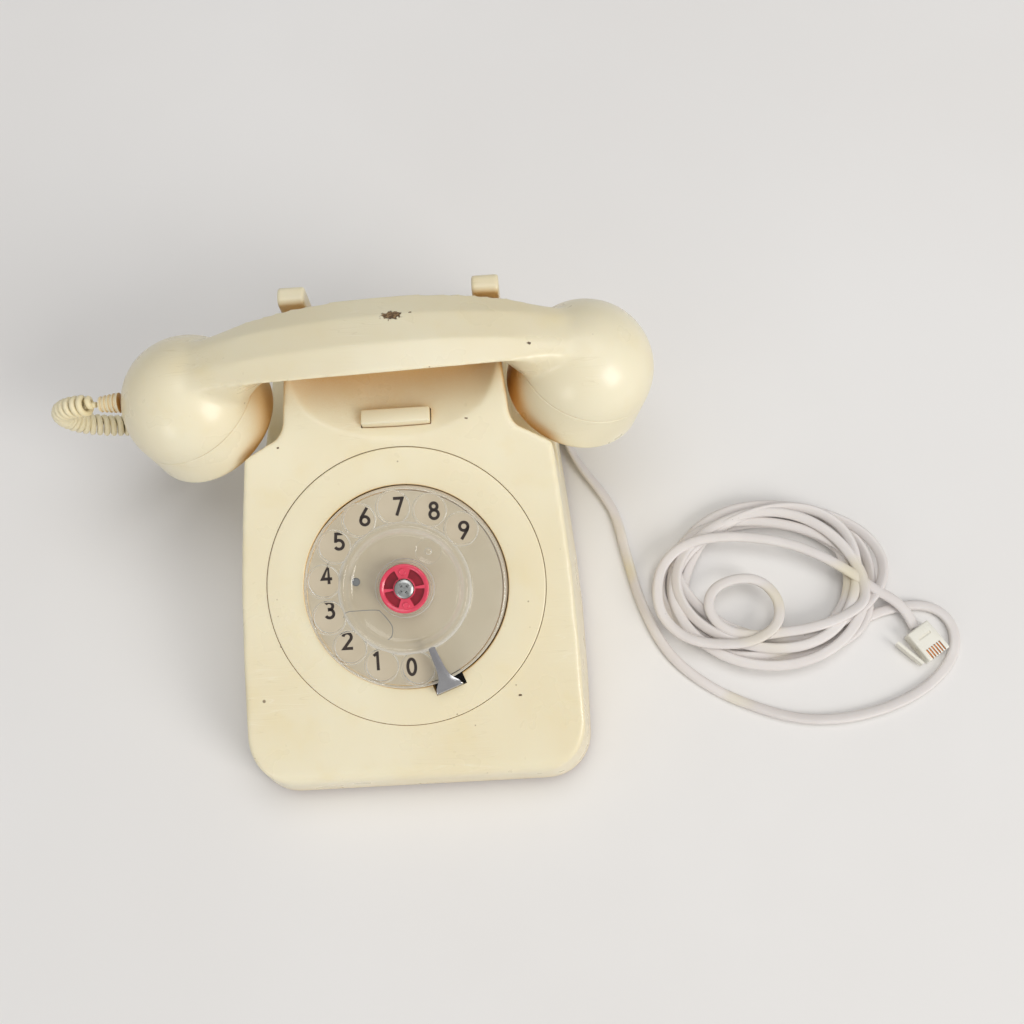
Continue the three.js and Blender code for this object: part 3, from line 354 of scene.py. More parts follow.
# ---- materials ----
class Look:
    """A Principled material with procedural colour, roughness and bump."""

    def __init__(self, name, **sockets):
        self.material = bpy.data.materials.new(name)
        self.material.use_nodes = True
        self.nodes = self.material.node_tree.nodes
        self.links = self.material.node_tree.links
        self.shader = self.nodes["Principled BSDF"]
        for key, value in sockets.items():
            self.shader.inputs[key.replace("_", " ")].default_value = value
        self.place = self.nodes.new("ShaderNodeTexCoord").outputs["Object"]
        self.colour = None
        self.height = None

    def node(self, kind, **inputs):
        made = self.nodes.new(kind)
        for key, value in inputs.items():
            self.feed(made.inputs[key.replace("_", " ")], value)
        return made

    def feed(self, socket, value):
        if isinstance(value, bpy.types.NodeSocket):
            self.links.new(value, socket)
        else:
            socket.default_value = value

    def stretched(self, x, y, z):
        node = self.node("ShaderNodeMapping", Vector=self.place)
        node.inputs["Scale"].default_value = (x, y, z)
        return node.outputs["Vector"]

    def noise(self, scale, detail=3, vector=None):
        made = self.node("ShaderNodeTexNoise", Vector=vector or self.place, Scale=scale, Detail=detail)
        return made.outputs["Fac"]

    def span(self, value, low, high, to_low=0.0, to_high=1.0):
        """The value mapped from one range to another and held there."""
        node = self.node("ShaderNodeMapRange", Value=value)
        node.inputs["From Min"].default_value = low
        node.inputs["From Max"].default_value = high
        node.inputs["To Min"].default_value = to_low
        node.inputs["To Max"].default_value = to_high
        return node.outputs["Result"]

    def math(self, operation, a, b):
        node = self.nodes.new("ShaderNodeMath")
        node.operation = operation
        self.feed(node.inputs[0], a)
        self.feed(node.inputs[1], b)
        return node.outputs[0]

    def mix(self, share, a, b):
        node = self.nodes.new("ShaderNodeMix")
        node.data_type = "RGBA"
        self.feed(node.inputs["Factor"], share)
        self.feed(node.inputs["A"], a)
        self.feed(node.inputs["B"], b)
        return node.outputs["Result"]

    def base(self, scale, detail, colour, second):
        """Two close colours in soft clouds."""
        self.colour = self.mix(self.span(self.noise(scale, detail), 0.35, 0.65), rgb(colour), rgb(second))

    def tint(self, share, colour):
        self.colour = self.mix(share, self.colour, rgb(colour))

    def specks(self, scale, size, rarity, seed=0.0):
        """A mask of rare small spots."""
        shifted = self.node("ShaderNodeMapping", Vector=self.place)
        shifted.inputs["Location"].default_value = (seed, seed * 1.7, seed * 0.3)
        cells = self.node("ShaderNodeTexVoronoi", Vector=shifted.outputs["Vector"], Scale=scale)
        spot = self.span(cells.outputs["Distance"], size, size * 0.6)
        pick = self.node("ShaderNodeSeparateColor", Color=cells.outputs["Color"]).outputs["Red"]
        return self.math("MULTIPLY", spot, self.span(pick, rarity, rarity - 0.02))

    def scratches(self, scale, turn, thin=0.012):
        """A mask of fine straight hairlines in one direction."""
        node = self.node("ShaderNodeMapping", Vector=self.place)
        node.inputs["Rotation"].default_value = turn
        node.inputs["Scale"].default_value = (1, 14, 14)
        value = self.noise(scale, 1, node.outputs["Vector"])
        near = self.math("ABSOLUTE", self.math("SUBTRACT", value, 0.5), 0.0)
        return self.math("MULTIPLY", self.span(near, thin, 0.0), self.span(self.noise(24, 2), 0.56, 0.66))

    def bump(self, height, distance):
        node = self.node("ShaderNodeBump", Height=height, Distance=distance, Strength=1.0)
        if self.height is not None:
            self.links.new(self.height, node.inputs["Normal"])
        self.height = node.outputs["Normal"]

    def rough(self, low, high, scale):
        self.feed(self.shader.inputs["Roughness"], self.span(self.noise(scale, 3), 0.3, 0.7, low, high))

    def shaders(self, share, a, b):
        node = self.nodes.new("ShaderNodeMixShader")
        for socket, value in zip(node.inputs, (share, a.outputs[0], b.outputs[0])):
            self.links.new(value, socket)
        return node

    def done(self):
        if self.colour is not None:
            self.feed(self.shader.inputs["Base Color"], self.colour)
        if self.height is not None:
            self.links.new(self.height, self.shader.inputs["Normal"])
        return self.material


def rgb(colour):
    """A colour given as 0-255 screen values, as linear light."""
    out = []
    for value in colour:
        share = value / 255
        out.append(share / 12.92 if share <= 0.04045 else ((share + 0.055) / 1.055) ** 2.4)
    return (*out, 1.0)


def ivory(name, marks=()):
    look = Look(name, Roughness=0.3, IOR=1.5, Coat_Weight=0.15, Coat_Roughness=0.12)
    look.shader.inputs["Subsurface Weight"].default_value = 0.06
    look.shader.inputs["Subsurface Radius"].default_value = (0.004, 0.003, 0.0015)
    look.shader.inputs["Subsurface Scale"].default_value = 0.5
    look.base(14, 3, (236, 227, 198), (232, 219, 184))
    look.tint(look.span(look.noise(60, 4), 0.55, 0.9, 0, 0.35), (228, 208, 150))
    # Painted shade: deep ochre mixed in where ambient occlusion is low, so hollows, creases and the
    # undersides of parts look shaded.
    hollow = look.node("ShaderNodeAmbientOcclusion", Distance=0.03)
    hollow.samples = 6
    look.tint(look.span(hollow.outputs["AO"], 0.66, 0.16, 0, 0.9), (214, 162, 74))
    look.tint(look.math("MULTIPLY", look.scratches(22, (0.2, 0.4, 0.7)), 0.3), (205, 190, 150))
    look.tint(look.math("MULTIPLY", look.scratches(17, (0.9, 0.1, -0.5)), 0.25), (248, 242, 222))
    look.tint(look.math("MULTIPLY", look.specks(95, 0.09, 0.06), 0.75), (96, 72, 46))
    look.tint(look.math("MULTIPLY", look.specks(260, 0.13, 0.04, 3.1), 0.55), (120, 96, 62))
    look.rough(0.24, 0.4, 45)
    look.bump(look.noise(900, 2), 0.00001)
    look.bump(look.noise(110, 2), 0.00004)
    for at, size in marks:
        there = look.node("ShaderNodeVectorMath", Vector=look.place)
        there.operation = "SUBTRACT"
        there.inputs[1].default_value = at
        longer = look.node("ShaderNodeMapping", Vector=there.outputs["Vector"])
        longer.inputs["Scale"].default_value = (0.62, 1, 1)
        far = look.node("ShaderNodeVectorMath", Vector=longer.outputs["Vector"])
        far.operation = "LENGTH"
        ragged = look.math("MULTIPLY", look.span(look.noise(620, 4), 0.3, 0.7, 0.55, 1.6), size)
        mask = look.span(look.math("DIVIDE", far.outputs["Value"], ragged), 1.1, 0.85)
        inside = look.span(look.noise(900, 3), 0.45, 0.6)
        look.colour = look.mix(mask, look.colour, look.mix(inside, rgb((92, 70, 50)), rgb((146, 118, 84))))
        look.bump(look.math("MULTIPLY", mask, -1.0), 0.0004)
    return look.done()


def plain(name, colour, second, roughness, scale=40, grain=600, depth=0.00002, **sockets):
    """A moulded plastic, rubber or laminate."""
    look = Look(name, **sockets)
    look.base(scale, 4, colour, second)
    look.tint(look.math("MULTIPLY", look.specks(300, 0.12, 0.1), 0.35), [c * 0.6 for c in colour])
    look.rough(roughness * 0.8, roughness * 1.25, scale * 3)
    look.bump(look.noise(grain, 3), depth)
    return look.done()


def metal(name, colour, second, roughness, brush=(1, 1, 1)):
    look = Look(name, Metallic=1.0)
    grain = look.stretched(*brush)
    look.base(55, 4, colour, second)
    streaks = look.math("MULTIPLY", look.span(look.noise(700, 3, grain), 0.5, 0.75), 0.4)
    look.tint(streaks, [c * 0.82 for c in colour])
    uneven = look.span(look.noise(420, 3, grain), 0.3, 0.7, roughness * 0.7, roughness * 1.3)
    look.feed(look.shader.inputs["Roughness"], uneven)
    look.bump(look.noise(650, 2, grain), 0.00001)
    return look.done()


def winding(name):
    look = Look(name, Metallic=0.6)
    waves = look.node("ShaderNodeTexWave", Vector=look.place, Scale=420, Distortion=0.6)
    waves.bands_direction = "Z"
    look.colour = look.mix(waves.outputs["Fac"], rgb((120, 58, 28)), rgb((196, 112, 60)))
    look.rough(0.3, 0.45, 200)
    look.bump(waves.outputs["Fac"], 0.0001)
    return look.done()


def clear(name):
    """Clear acrylic, with painted whitish highlights where it is seen edge on. It casts no shadow on what
    lies beneath.
    """
    look = Look(name, Transmission_Weight=1.0, IOR=1.49)
    look.shader.inputs["Base Color"].default_value = (0.965, 0.97, 0.955, 1)
    look.bump(look.noise(160, 3), 0.00006)
    look.feed(look.shader.inputs["Roughness"], look.span(look.noise(420, 2), 0.35, 0.7, 0.02, 0.12))
    # Painted highlight: a pale grey shader mixed in where the surface is seen edge on, standing in for bright
    # refracted rims.
    painted_edge_highlight = look.node("ShaderNodeBsdfPrincipled", Base_Color=(0.78, 0.78, 0.76, 1), Roughness=0.15)
    facing = look.node("ShaderNodeLayerWeight", Blend=0.45).outputs["Facing"]
    body = look.shaders(look.span(facing, 0.12, 0.85, 0, 0.9), look.shader, painted_edge_highlight)
    through = look.node("ShaderNodeBsdfTransparent", Color=(0.93, 0.93, 0.91, 1))
    ray = look.node("ShaderNodeLightPath").outputs
    unseen = look.math("MAXIMUM", ray["Is Shadow Ray"], ray["Is Diffuse Ray"])
    whole = look.shaders(unseen, body, through)
    look.links.new(whole.outputs[0], look.nodes["Material Output"].inputs["Surface"])
    return look.done()


def vinyl(name, colour, second, stain, stain_share):
    """A soft cord sheath with faint specks and yellowed stretches."""
    look = Look(name, Roughness=0.42, IOR=1.48)
    look.shader.inputs["Subsurface Weight"].default_value = 0.05
    look.shader.inputs["Subsurface Radius"].default_value = (0.002, 0.0015, 0.001)
    look.base(30, 3, colour, second)
    look.tint(look.span(look.noise(16, 2), 0.6, 0.72, 0, stain_share), stain)
    look.tint(look.math("MULTIPLY", look.specks(320, 0.1, 0.06, 1.3), 0.5), (110, 96, 84))
    look.rough(0.34, 0.5, 120)
    look.bump(look.noise(700, 2), 0.00002)
    return look.done()


# Chips and specks: where each one is, and its size.
CASE_MARKS = [
    ((-0.0487, 0.0309, 0.0867), 0.00035),
    ((0.0352, 0.0383, 0.0898), 0.0004),
    ((0.0515, -0.0763, 0.0421), 0.0004),
]
HANDSET_MARKS = [
    ((0.0073, 0.0727, 0.1239), 0.0022),
    ((0.0154, 0.0738, 0.1233), 0.0004),
    ((0.065, 0.0577, 0.1192), 0.0005),
]
IVORY = ivory("ivory_plastic", CASE_MARKS)
HANDSET_IVORY = ivory("ivory_handset", HANDSET_MARKS)
CLEAR = clear("clear_plastic")
RED = plain("red_plastic", (226, 72, 96), (214, 58, 84), 0.22, scale=120, IOR=1.5, Coat_Weight=0.4)
# Painted shade: a darker copy of the hub's red, laid on the floors of the hub's windows.
RED_PAINTED_SHADE = plain("red_plastic_painted_shade", (150, 22, 42), (122, 14, 32), 0.35, scale=120)
NUMBER_GREY = plain("number_plate_print", (206, 194, 172), (198, 184, 160), 0.5, scale=30)
INK = plain("ink", (42, 32, 28), (52, 40, 34), 0.45, scale=300)
ZINC = metal("zinc_steel", (186, 188, 186), (160, 160, 156), 0.36)
CHROME = metal("polished_steel", (205, 204, 204), (180, 178, 180), 0.16, (1, 9, 1))
BRASS = metal("brass", (196, 162, 88), (170, 134, 66), 0.32)
BLACK = plain("black_plastic", (34, 34, 36), (44, 43, 44), 0.5)
GREY = plain("grey_plastic", (120, 122, 124), (106, 108, 110), 0.5)
BOARD = plain("board_laminate", (66, 106, 70), (50, 88, 58), 0.55, scale=90, grain=350)
COPPER = winding("copper_winding")
RUBBER = plain("foot_rubber", (40, 39, 38), (52, 50, 48), 0.85, scale=80, grain=900, depth=0.00006)
CORD_WHITE = vinyl("cord_plastic", (226, 220, 216), (218, 211, 207), (224, 212, 168), 0.6)
CORD_IVORY = vinyl("cord_ivory", (238, 228, 196), (232, 218, 178), (222, 198, 138), 0.5)
WHITE = plain("white_plastic", (240, 238, 228), (232, 228, 214), 0.3, scale=60, IOR=1.5)
CONTACT = metal("contact_copper", (190, 120, 70), (150, 92, 52), 0.3)

SLOT_LOOKS = {
    "ivory_plastic": IVORY,
    "clear_plastic": CLEAR,
    "red_plastic": RED,
    "number_plate_print": NUMBER_GREY,
    "zinc_steel": ZINC,
    "polished_steel": CHROME,
    "brass": BRASS,
    "black_plastic": BLACK,
    "grey_plastic": GREY,
    "board_laminate": BOARD,
    "copper_winding": COPPER,
    "foot_rubber": RUBBER,
    "cord_plastic": CORD_WHITE,
    "white_plastic": WHITE,
}


def dress_cad_nodes():
    """Every CAD node that stays gets its slot's material and finely rounded edges."""
    for part in frame["record"]["subparts"]:
        node = frame["nodes"][part["node"]]
        node.data.materials.clear()
        node.data.materials.append(SLOT_LOOKS[part["material_slot"]])
        bevel = node.modifiers.new("edges", "BEVEL")
        bevel.width = 0.00025
        bevel.segments = 2
        bevel.limit_method = "ANGLE"
        bevel.angle_limit = math.radians(40)


dress_cad_nodes()

# ---- cords ----
LINE_EXIT = (39, 128.7, 13.9)
LINE_ROUTE = [
    LINE_EXIT, (39.4, 133, 13), (42.5, 138, 9.5), (51, 140, 5), (61.5, 138, 2.2), (71, 132, 1.5),
    (78.5, 122.5, 1.5), (82.5, 109, 1.5), (81.7, 92, 1.5), (80.3, 76, 1.5), (80.7, 62, 1.5),
    (86.5, 48, 1.5), (95.9, 33.5, 1.5), (102.6, 20, 1.5), (106.2, 0, 1.5), (112, -27, 1.5),
    (123.3, -52.5, 1.5), (142, -70, 1.5), (163.1, -80.9, 1.5), (182, -86.8, 1.5), (202, -87.7, 1.5),
    (223.7, -83.5, 1.5), (242.5, -75, 1.5), (255.5, -63.3, 1.5), (259.7, -52, 1.5), (257.3, -42, 1.5),
    (250, -36.5, 1.5), (240.7, -35.2, 1.5), (230.8, -36.6, 1.5), (221.9, -39.1, 1.5),
]
# The loops of the coil, from the bottom up: middle, half width and half depth of each.
LINE_LOOPS = [
    (178, -24, 44, 34), (171, -18, 52, 40), (178, -26, 45, 30), (168, -19, 44, 39),
    (181, -14, 46, 35), (171, -27, 50, 33), (177, -18, 41, 37), (169, -22, 47, 36),
]
LOOP_FIRST_DEG = -45
LOOP_LAST_DEG = -2520
LOOP_STEP_DEG = 12
LOOP_BOTTOM, LOOP_RISE = 1.5, 1.08
# The last half loop curls over itself inside the others, then runs over them to the plug.
LINE_TOP = [
    (218, -33, 9), (205, -41.4, 9), (190, -45.4, 9.2), (176.7, -46.8, 9.4), (163, -47.6, 9.6),
    (149.5, -43.5, 9.6), (143, -33.5, 9.6), (146.5, -23.8, 9.8), (158, -19.4, 10), (169.5, -21.4, 10.2),
    (176.4, -31.5, 10.6), (174.4, -43.2, 11), (162, -50.6, 11), (147, -51.2, 10.6), (133, -48, 10.4),
    (123.4, -40, 10.2), (119.2, -29, 10), (121, -14.7, 10), (128.5, -4.6, 10.2), (139.5, 0.8, 10.4),
    (152.7, 2.2, 10.6), (169.8, 0.6, 10.6), (186.4, -3.8, 10.6), (200.1, -10.6, 10.4), (213.4, -19.5, 9.4),
]
TAIL_ROUTE = [
    (224.6, -28.6, 7.6), (230, -31.5, 6.6), (236, -36.8, 5.4), (239.3, -42.4, 3.9), (240.8, -46.7, 3.5),
]
LINE_HALF_WIDTH, LINE_HALF_THICKNESS = 2.5, 1.25


def coil_loops():
    out = []
    steps = int((LOOP_FIRST_DEG - LOOP_LAST_DEG) / LOOP_STEP_DEG)
    for k in range(steps + 1):
        deg = LOOP_FIRST_DEG - k * LOOP_STEP_DEG
        turns = k * LOOP_STEP_DEG / 360
        i = min(int(turns), len(LINE_LOOPS) - 2)
        share = turns - i
        share = share * share * (3 - 2 * share)
        cx, cy, rx, ry = (a + (b - a) * share for a, b in zip(LINE_LOOPS[i], LINE_LOOPS[i + 1]))
        around = math.radians(deg)
        uneven = 1 + 0.05 * math.sin(2 * around + 2.1 * turns) + 0.03 * math.sin(3 * around - 1.3 * turns)
        x, y = rx * uneven * math.cos(around), ry * uneven * math.sin(around)
        z = LOOP_BOTTOM + LOOP_RISE * turns + 0.3 * math.sin(math.radians(3 * deg + 50 * i))
        out.append((cx + x, cy + y, z))
    return out


def flat_tube(line, tilts, half_width, half_thickness, sides=12):
    """A tube of flat section; each tilt turns the section about the line."""
    points = []
    count = len(line)
    for i, here in enumerate(line):
        ahead = (line[min(i + 1, count - 1)] - line[max(i - 1, 0)]).normalized()
        level = ahead.cross(Vector((0, 0, 1))).normalized()
        over = level.cross(ahead).normalized()
        wide = level * math.cos(tilts[i]) + over * math.sin(tilts[i])
        thin = over * math.cos(tilts[i]) - level * math.sin(tilts[i])
        for k in range(sides):
            angle = 2 * math.pi * (k + 0.5) / sides
            c, s = math.cos(angle), math.sin(angle)
            x = half_width * math.copysign(abs(c) ** 0.6, c)
            y = half_thickness * math.copysign(abs(s) ** 0.75, s)
            points.append(here + wide * x + thin * y)
    return skinned(points, sides)


def length_of(line):
    return sum((b - a).length for a, b in zip(line, line[1:]))


def line_cord():
    line = spline(LINE_ROUTE + coil_loops() + LINE_TOP + TAIL_ROUTE, 6)
    line = relaxed(resampled(line, 1.6), 6)
    along = 0
    tilts = []
    total = length_of(line)
    for i, point in enumerate(line):
        along += (point - line[i - 1]).length if i else 0
        edgewise = math.exp(-(((along - 150) / 55) ** 2))
        wobble = 0.42 * math.sin(along / 43) + 0.3 * math.sin(along / 71 + 1)
        ends = min(1, along / 60, (total - along) / 60)
        tilt = (wobble + 0.9 * edgewise) * max(ends, 0)
        tilts.append(tilt)
        lift = LINE_HALF_WIDTH * abs(math.sin(tilt)) + LINE_HALF_THICKNESS * (math.cos(tilt) - 1)
        point.z = max(point.z, LINE_HALF_THICKNESS) + lift * 0.8
    mesh = flat_tube(line, tilts, LINE_HALF_WIDTH, LINE_HALF_THICKNESS)
    nodes = ("line_cord", "line_cord_tail", "line_cord_coil")
    return place("line_cord_sheath", mesh, "base", CORD_WHITE, None, nodes, 60), line


CURLY_ROUTE = [
    (-130.8, 56.3, 89.4), (-136, 56.3, 89.2), (-143.5, 57, 86.5), (-150, 58.3, 80), (-151.5, 59.5, 71.5),
    (-147.5, 60.2, 63.5), (-139, 61, 57.5), (-129, 63, 51.5), (-119, 67, 42), (-111, 73, 30),
    (-104, 81, 17.5), (-96, 92, 8.5), (-87, 106, 5.4), (-75, 121, 5.4), (-61, 133, 5.6),
    (-47, 140, 7.6), (-35.5, 137.5, 12), (-31.2, 130, 15.4), (-31, 122.8, 16),
]
CURLY_TURN_R = 3.75
CURLY_WIRE_R = 1.4
CURLY_PITCH = 3.1
CURLY_PER_TURN = 14
CURLY_END = 3


def curly_cord():
    """The line wound round the cord's axis, with a short straight run at each end."""
    axis = resampled(spline(CURLY_ROUTE, 12), CURLY_PITCH / CURLY_PER_TURN)
    total = length_of(axis)
    side = Vector((0, 0, 1))
    line = []
    along = 0
    for i, here in enumerate(axis):
        along += (here - axis[i - 1]).length if i else 0
        ahead = (axis[min(i + 1, len(axis) - 1)] - axis[max(i - 1, 0)]).normalized()
        side = (side - ahead * side.dot(ahead)).normalized()
        other = ahead.cross(side)
        from_end = min(along, total - along)
        share = max(0, min(1, (from_end - CURLY_END / 2) / CURLY_END))
        radius = CURLY_TURN_R * share * share * (3 - 2 * share)
        angle = 2 * math.pi * i / CURLY_PER_TURN
        line.append(here + (side * math.cos(angle) + other * math.sin(angle)) * radius)
    points = []
    sides = 8
    normal = Vector((0, 0, 1))
    for i, here in enumerate(line):
        ahead = (line[min(i + 1, len(line) - 1)] - line[max(i - 1, 0)]).normalized()
        normal = (normal - ahead * normal.dot(ahead)).normalized()
        across = ahead.cross(normal)
        for k in range(sides):
            angle = 2 * math.pi * k / sides
            points.append(here + (normal * math.cos(angle) + across * math.sin(angle)) * CURLY_WIRE_R)
    mesh = skinned(points, sides)
    place("curly_cord", mesh, "base", CORD_IVORY, None, ["handset_cord"], 80)


curly_cord()


# ---- plug ----
PLUG_X, PLUG_Y, PLUG_DEG = 245.3, -54.2, -58
PLUG_SIZE = (16, 12.6, 7)
CONTACTS_Y = [-3.75 + 1.5 * k for k in range(6)]


def plug():
    at = Matrix.Translation((PLUG_X, PLUG_Y, 0)) @ Matrix.Rotation(math.radians(PLUG_DEG), 4, "Z")
    length, width, height = PLUG_SIZE
    body = box((-length / 2, length / 2), (-width / 2, width / 2), (0.1, height))
    body = bevelled(body, 0.7, 3)
    for y in CONTACTS_Y:
        groove = box((length / 2 - 5.2, length / 2 + 1), (y - 0.42, y + 0.42), (height - 2.2, height + 1))
        body = combined(body, groove)
    body = combined(body, box((-3.4, -2.2), (-3.6, 3.6), (height - 0.5, height + 1)))
    place("plug_body", body, "base", WHITE, at, ["line_plug"])
    strips = []
    along, up = (length / 2 - 5, length / 2 - 0.4), (height - 2.1, height - 0.35)
    for y in CONTACTS_Y:
        strips.append(box(along, (y - 0.3, y + 0.3), up))
    return place("plug_contacts", bevelled(joined(strips), 0.1, 1), "base", CONTACT, at)


plug_contacts = plug()
line_cord_piece, line_points = line_cord()


# ---- case ----
def face_z(y, inset=0):
    return FACE_Z + (y - FACE_Y) * math.tan(FACE_TILT) - inset / math.cos(FACE_TILT)


def handle_top(x):
    return HANDLE_TOP - x * x / (2 * HANDLE_ARCH_R) - HANDLE_END_DROP * (x / HANDLE_END_X) ** 4


def handle_under_z(y):
    drop = HANDLE_THICKNESS - handle_top(TOWER_HALF + CASE_X)
    middle_y = HANDSET_Y - drop * math.sin(HANDSET_TILT)
    middle_z = HANDSET_Z - drop * math.cos(HANDSET_TILT)
    return middle_z - (y - middle_y) * math.tan(HANDSET_TILT)


def case_plan(inset):
    right = []
    for i, (y, half) in enumerate(CASE_FLANK):
        end = i in CASE_CORNERS
        radius = CASE_CORNERS.get(i, inset) - inset
        right.append((half - inset, y - math.copysign(inset if end else 0, y), radius))
    return rounded(right + [(-x, y, r) for x, y, r in reversed(right)], 16)


def case_body(inset, bottom):
    rear = CASE_DEPTH / 2
    cradle = handle_under_z(CRADLE_REAR_Y) - 0.9 - inset
    front_z = face_z(-rear + inset, inset)
    outline = rounded([
        (-rear + inset, bottom),
        (rear - inset, bottom),
        (rear - inset, SHELF_Z - inset),
        (TOWER_REAR_Y - inset, cradle - 6, 3),
        (CRADLE_REAR_Y, cradle),
        (EAR_Y, face_z(EAR_Y, inset), 2.5),
        (-rear + inset, front_z, FRONT_EDGE_R - inset),
    ])
    block = prism(case_plan(inset), bottom, CASE_TOP)
    for vertex in block.vertices:
        vertex.co.x *= 1 - CASE_DRAFT * (vertex.co.z - CASE_BOTTOM)
    body = combined(block, across_x(outline, -100, 100), "INTERSECT")
    notch = rounded([
        (100, SHOULDER[0] - inset),
        (SHOULDER[1] - inset, SHOULDER[0] - inset, SHOULDER[2]),
        (NECK[1] - inset, NECK[0] - inset, NECK[2]),
        (TOWER_HALF - inset, EAR_Y - inset),
        (TOWER_HALF - inset, CASE_DEPTH),
        (100, CASE_DEPTH),
    ])
    for way in (1, -1):
        side = [(way * x, y) for x, y in notch]
        body = combined(body, prism(side, SHELF_Z - inset, CASE_TOP + 1))
    return body


def scoop(grow):
    z, half, sag_r, lip, rear = SCOOP
    half += grow
    outline = []
    for i in range(61):
        share = i / 30 - 1
        x = share * half
        outline.append((x, z - grow + x * x / (2 * sag_r) + lip * share**12))
    outline += [(half, CASE_TOP), (-half, CASE_TOP)]
    return across_y(outline, 0, rear + grow)


def case():
    body = combined(case_body(0, CASE_BOTTOM - 8), scoop(0))
    body = smoothed(body, 0.9, 16)
    low = handle_under_z(CRADLE_REAR_Y)
    front, rear, top = LUG["front"], LUG["rear"], LUG["top"]
    lug = rounded([(front, low - 5), (rear, low - 10), (rear, top, 3), (front, top, 3)])
    for side in (-1, 1):
        x = side * LUG["x"]
        block = across_x(lug, x - LUG["width"] / 2, x + LUG["width"] / 2)
        body = combined(body, bevelled(block, LUG_EDGE, 2, 50), "UNION")
    body = smoothed(body, 0.8, 2)
    moved(body, Matrix.Translation((CASE_X, 0, 0)))
    inner = WALL + SHELL_GAP
    inside = combined(case_body(inner, CASE_BOTTOM - 9), scoop(inner))
    inside = combined(inside, box((-120, 120), (-120, 120), (-40, CASE_BOTTOM - 8.5)))
    moved(inside, Matrix.Translation((CASE_X, 0, 0)))
    body = combined(body, box((-120, 130), (-130, 130), (-20, CASE_BOTTOM)))
    body = combined(body, inside)
    body = combined(body, moved(cylinder(BEZEL_R + GAP, -BEZEL_DEPTH, 18, segments=160), DIAL))
    width, depth = BUTTON_HALF_WIDTH + BUTTON_GAP, BUTTON_HALF_DEPTH + BUTTON_GAP
    slot = box((CASE_X - width, CASE_X + width), (BUTTON_Y - depth, BUTTON_Y + depth), (80, 94))
    body = combined(body, bevelled(slot, 0.5, 2))
    for side in (-1, 1):
        body = combined(body, cylinder(PLUNGER_HOLE_R, 62, 110, CASE_X + side * PLUNGER_X, PLUNGER_Y))
    for x, z, r in GLANDS:
        hole = cylinder(r + GAP, -6, 6)
        at = Matrix.Translation((CASE_X + x, CASE_DEPTH / 2, z)) @ Matrix.Rotation(math.pi / 2, 4, "X")
        body = combined(body, moved(hole, at))
    place("case_cover", body, "base", IVORY, replaces=["case_shell"], smooth=50)


case()


# ---- handset ----
def handset_matrix():
    tilt = Matrix.Rotation(-HANDSET_TILT, 4, "X")
    return Matrix.Translation((0, HANDSET_Y, HANDSET_Z)) @ Matrix.Rotation(HANDSET_YAW, 4, "Z") @ tilt


def bulb_matrix(way):
    return Matrix.Translation((way * BULB_X, 0, BULB_Z)) @ Matrix.Rotation(way * BULB_TILT, 4, "Y")


def handle():
    """Rings of eight points: a flat back between sloping edges, over rounded sides that open at the necks."""
    seam = BULB_Z - 3
    stations = [i * NECK_X / 16 for i in range(-16, 17)]
    for x in (54, 56, 58, 59.5, 61, 62.5, 64, 66, 68, 71, 74, 78, 82, 88, BULB_X + 6):
        stations.append(x)
        stations.insert(0, -x)
    points = []
    for x in stations:
        top = handle_top(x)
        share = min(abs(x) / HANDLE_END_X, 1.25) ** 2
        flat = 7.2 - 0.4 * share
        half = 20.3 - 3.9 * share
        past = max(abs(x) - NECK_X, 0)
        fillet = past * past / (2 * NECK_R)
        neck = min(past / NECK_LENGTH, 1)
        edge = max(top - 3.3, seam + 6)
        side = max(top - 11 - fillet, seam + 3)
        under = max(top - HANDLE_THICKNESS - fillet, seam)
        side_half = half - (6.3 + (1 - 6.3) * neck)
        under_half = half - (13 + (2 - 13) * neck)
        right = [(flat, top), (half, edge), (side_half, side), (under_half, under)]
        for y, z in right + [(-y, z) for y, z in reversed(right)]:
            points.append((x, y, z))
    return skinned(points, 8)


def eased(mesh, weight, rounds):
    """Relaxes the points by their own weights, so that some joins blend more than others."""
    count = len(mesh.vertices)
    points = np.empty(count * 3)
    mesh.vertices.foreach_get("co", points)
    points = points.reshape(-1, 3)
    edges = np.empty(len(mesh.edges) * 2, int)
    mesh.edges.foreach_get("vertices", edges)
    a, b = edges.reshape(-1, 2).T
    degree = np.bincount(np.concatenate([a, b]), minlength=count)
    share = (0.5 * weight(points))[:, None]
    for _ in range(rounds):
        sums = [np.bincount(a, axis[b], count) + np.bincount(b, axis[a], count) for axis in points.T]
        points += share * (np.stack(sums, axis=1) / degree[:, None] - points)
    mesh.vertices.foreach_set("co", points.ravel())
    mesh.update()
    return mesh


def at_the_necks(points):
    """Full weight where the handle runs into a bulb, none elsewhere."""
    across = np.abs(points[:, 0])
    return np.clip((across - 58) / 10, 0, 1) * np.clip((112 - across) / 12, 0, 1)


def handset():
    body = handle()
    for way in (-1, 1):
        dome = lathe([(0, -8), (BULB_R, -8), *arc(0, 0, BULB_R, 0, 88, 24), (0, BULB_R)], 96)
        body = combined(body, moved(dome, bulb_matrix(way)), "UNION")
    body = eased(smoothed(body, 0.75, 5), at_the_necks, 45)
    for way, seam in SEAMS.items():
        room = BULB_R - CAP_WALL
        inner = room - seam / 2
        hollow = lathe([(0, -9), (inner, -9), (inner, seam), (0.85 * room, room / 2), (0, room / 2)], 48)
        body = combined(body, moved(hollow, bulb_matrix(way)))
        below = cylinder(2 * BULB_R, -2 * BULB_R, seam)
        body = combined(body, moved(below, bulb_matrix(way)))
    at = handset_matrix()
    place("handset_body", body, "handset", HANDSET_IVORY, at, ["handset_shell"], 50)
    for name, node, way in (("mouthpiece", "mouth_cap", -1), ("earpiece", "ear_cap", 1)):
        place(name, cap(SEAMS[way]), "handset", IVORY, at @ bulb_matrix(way), [node], 30)


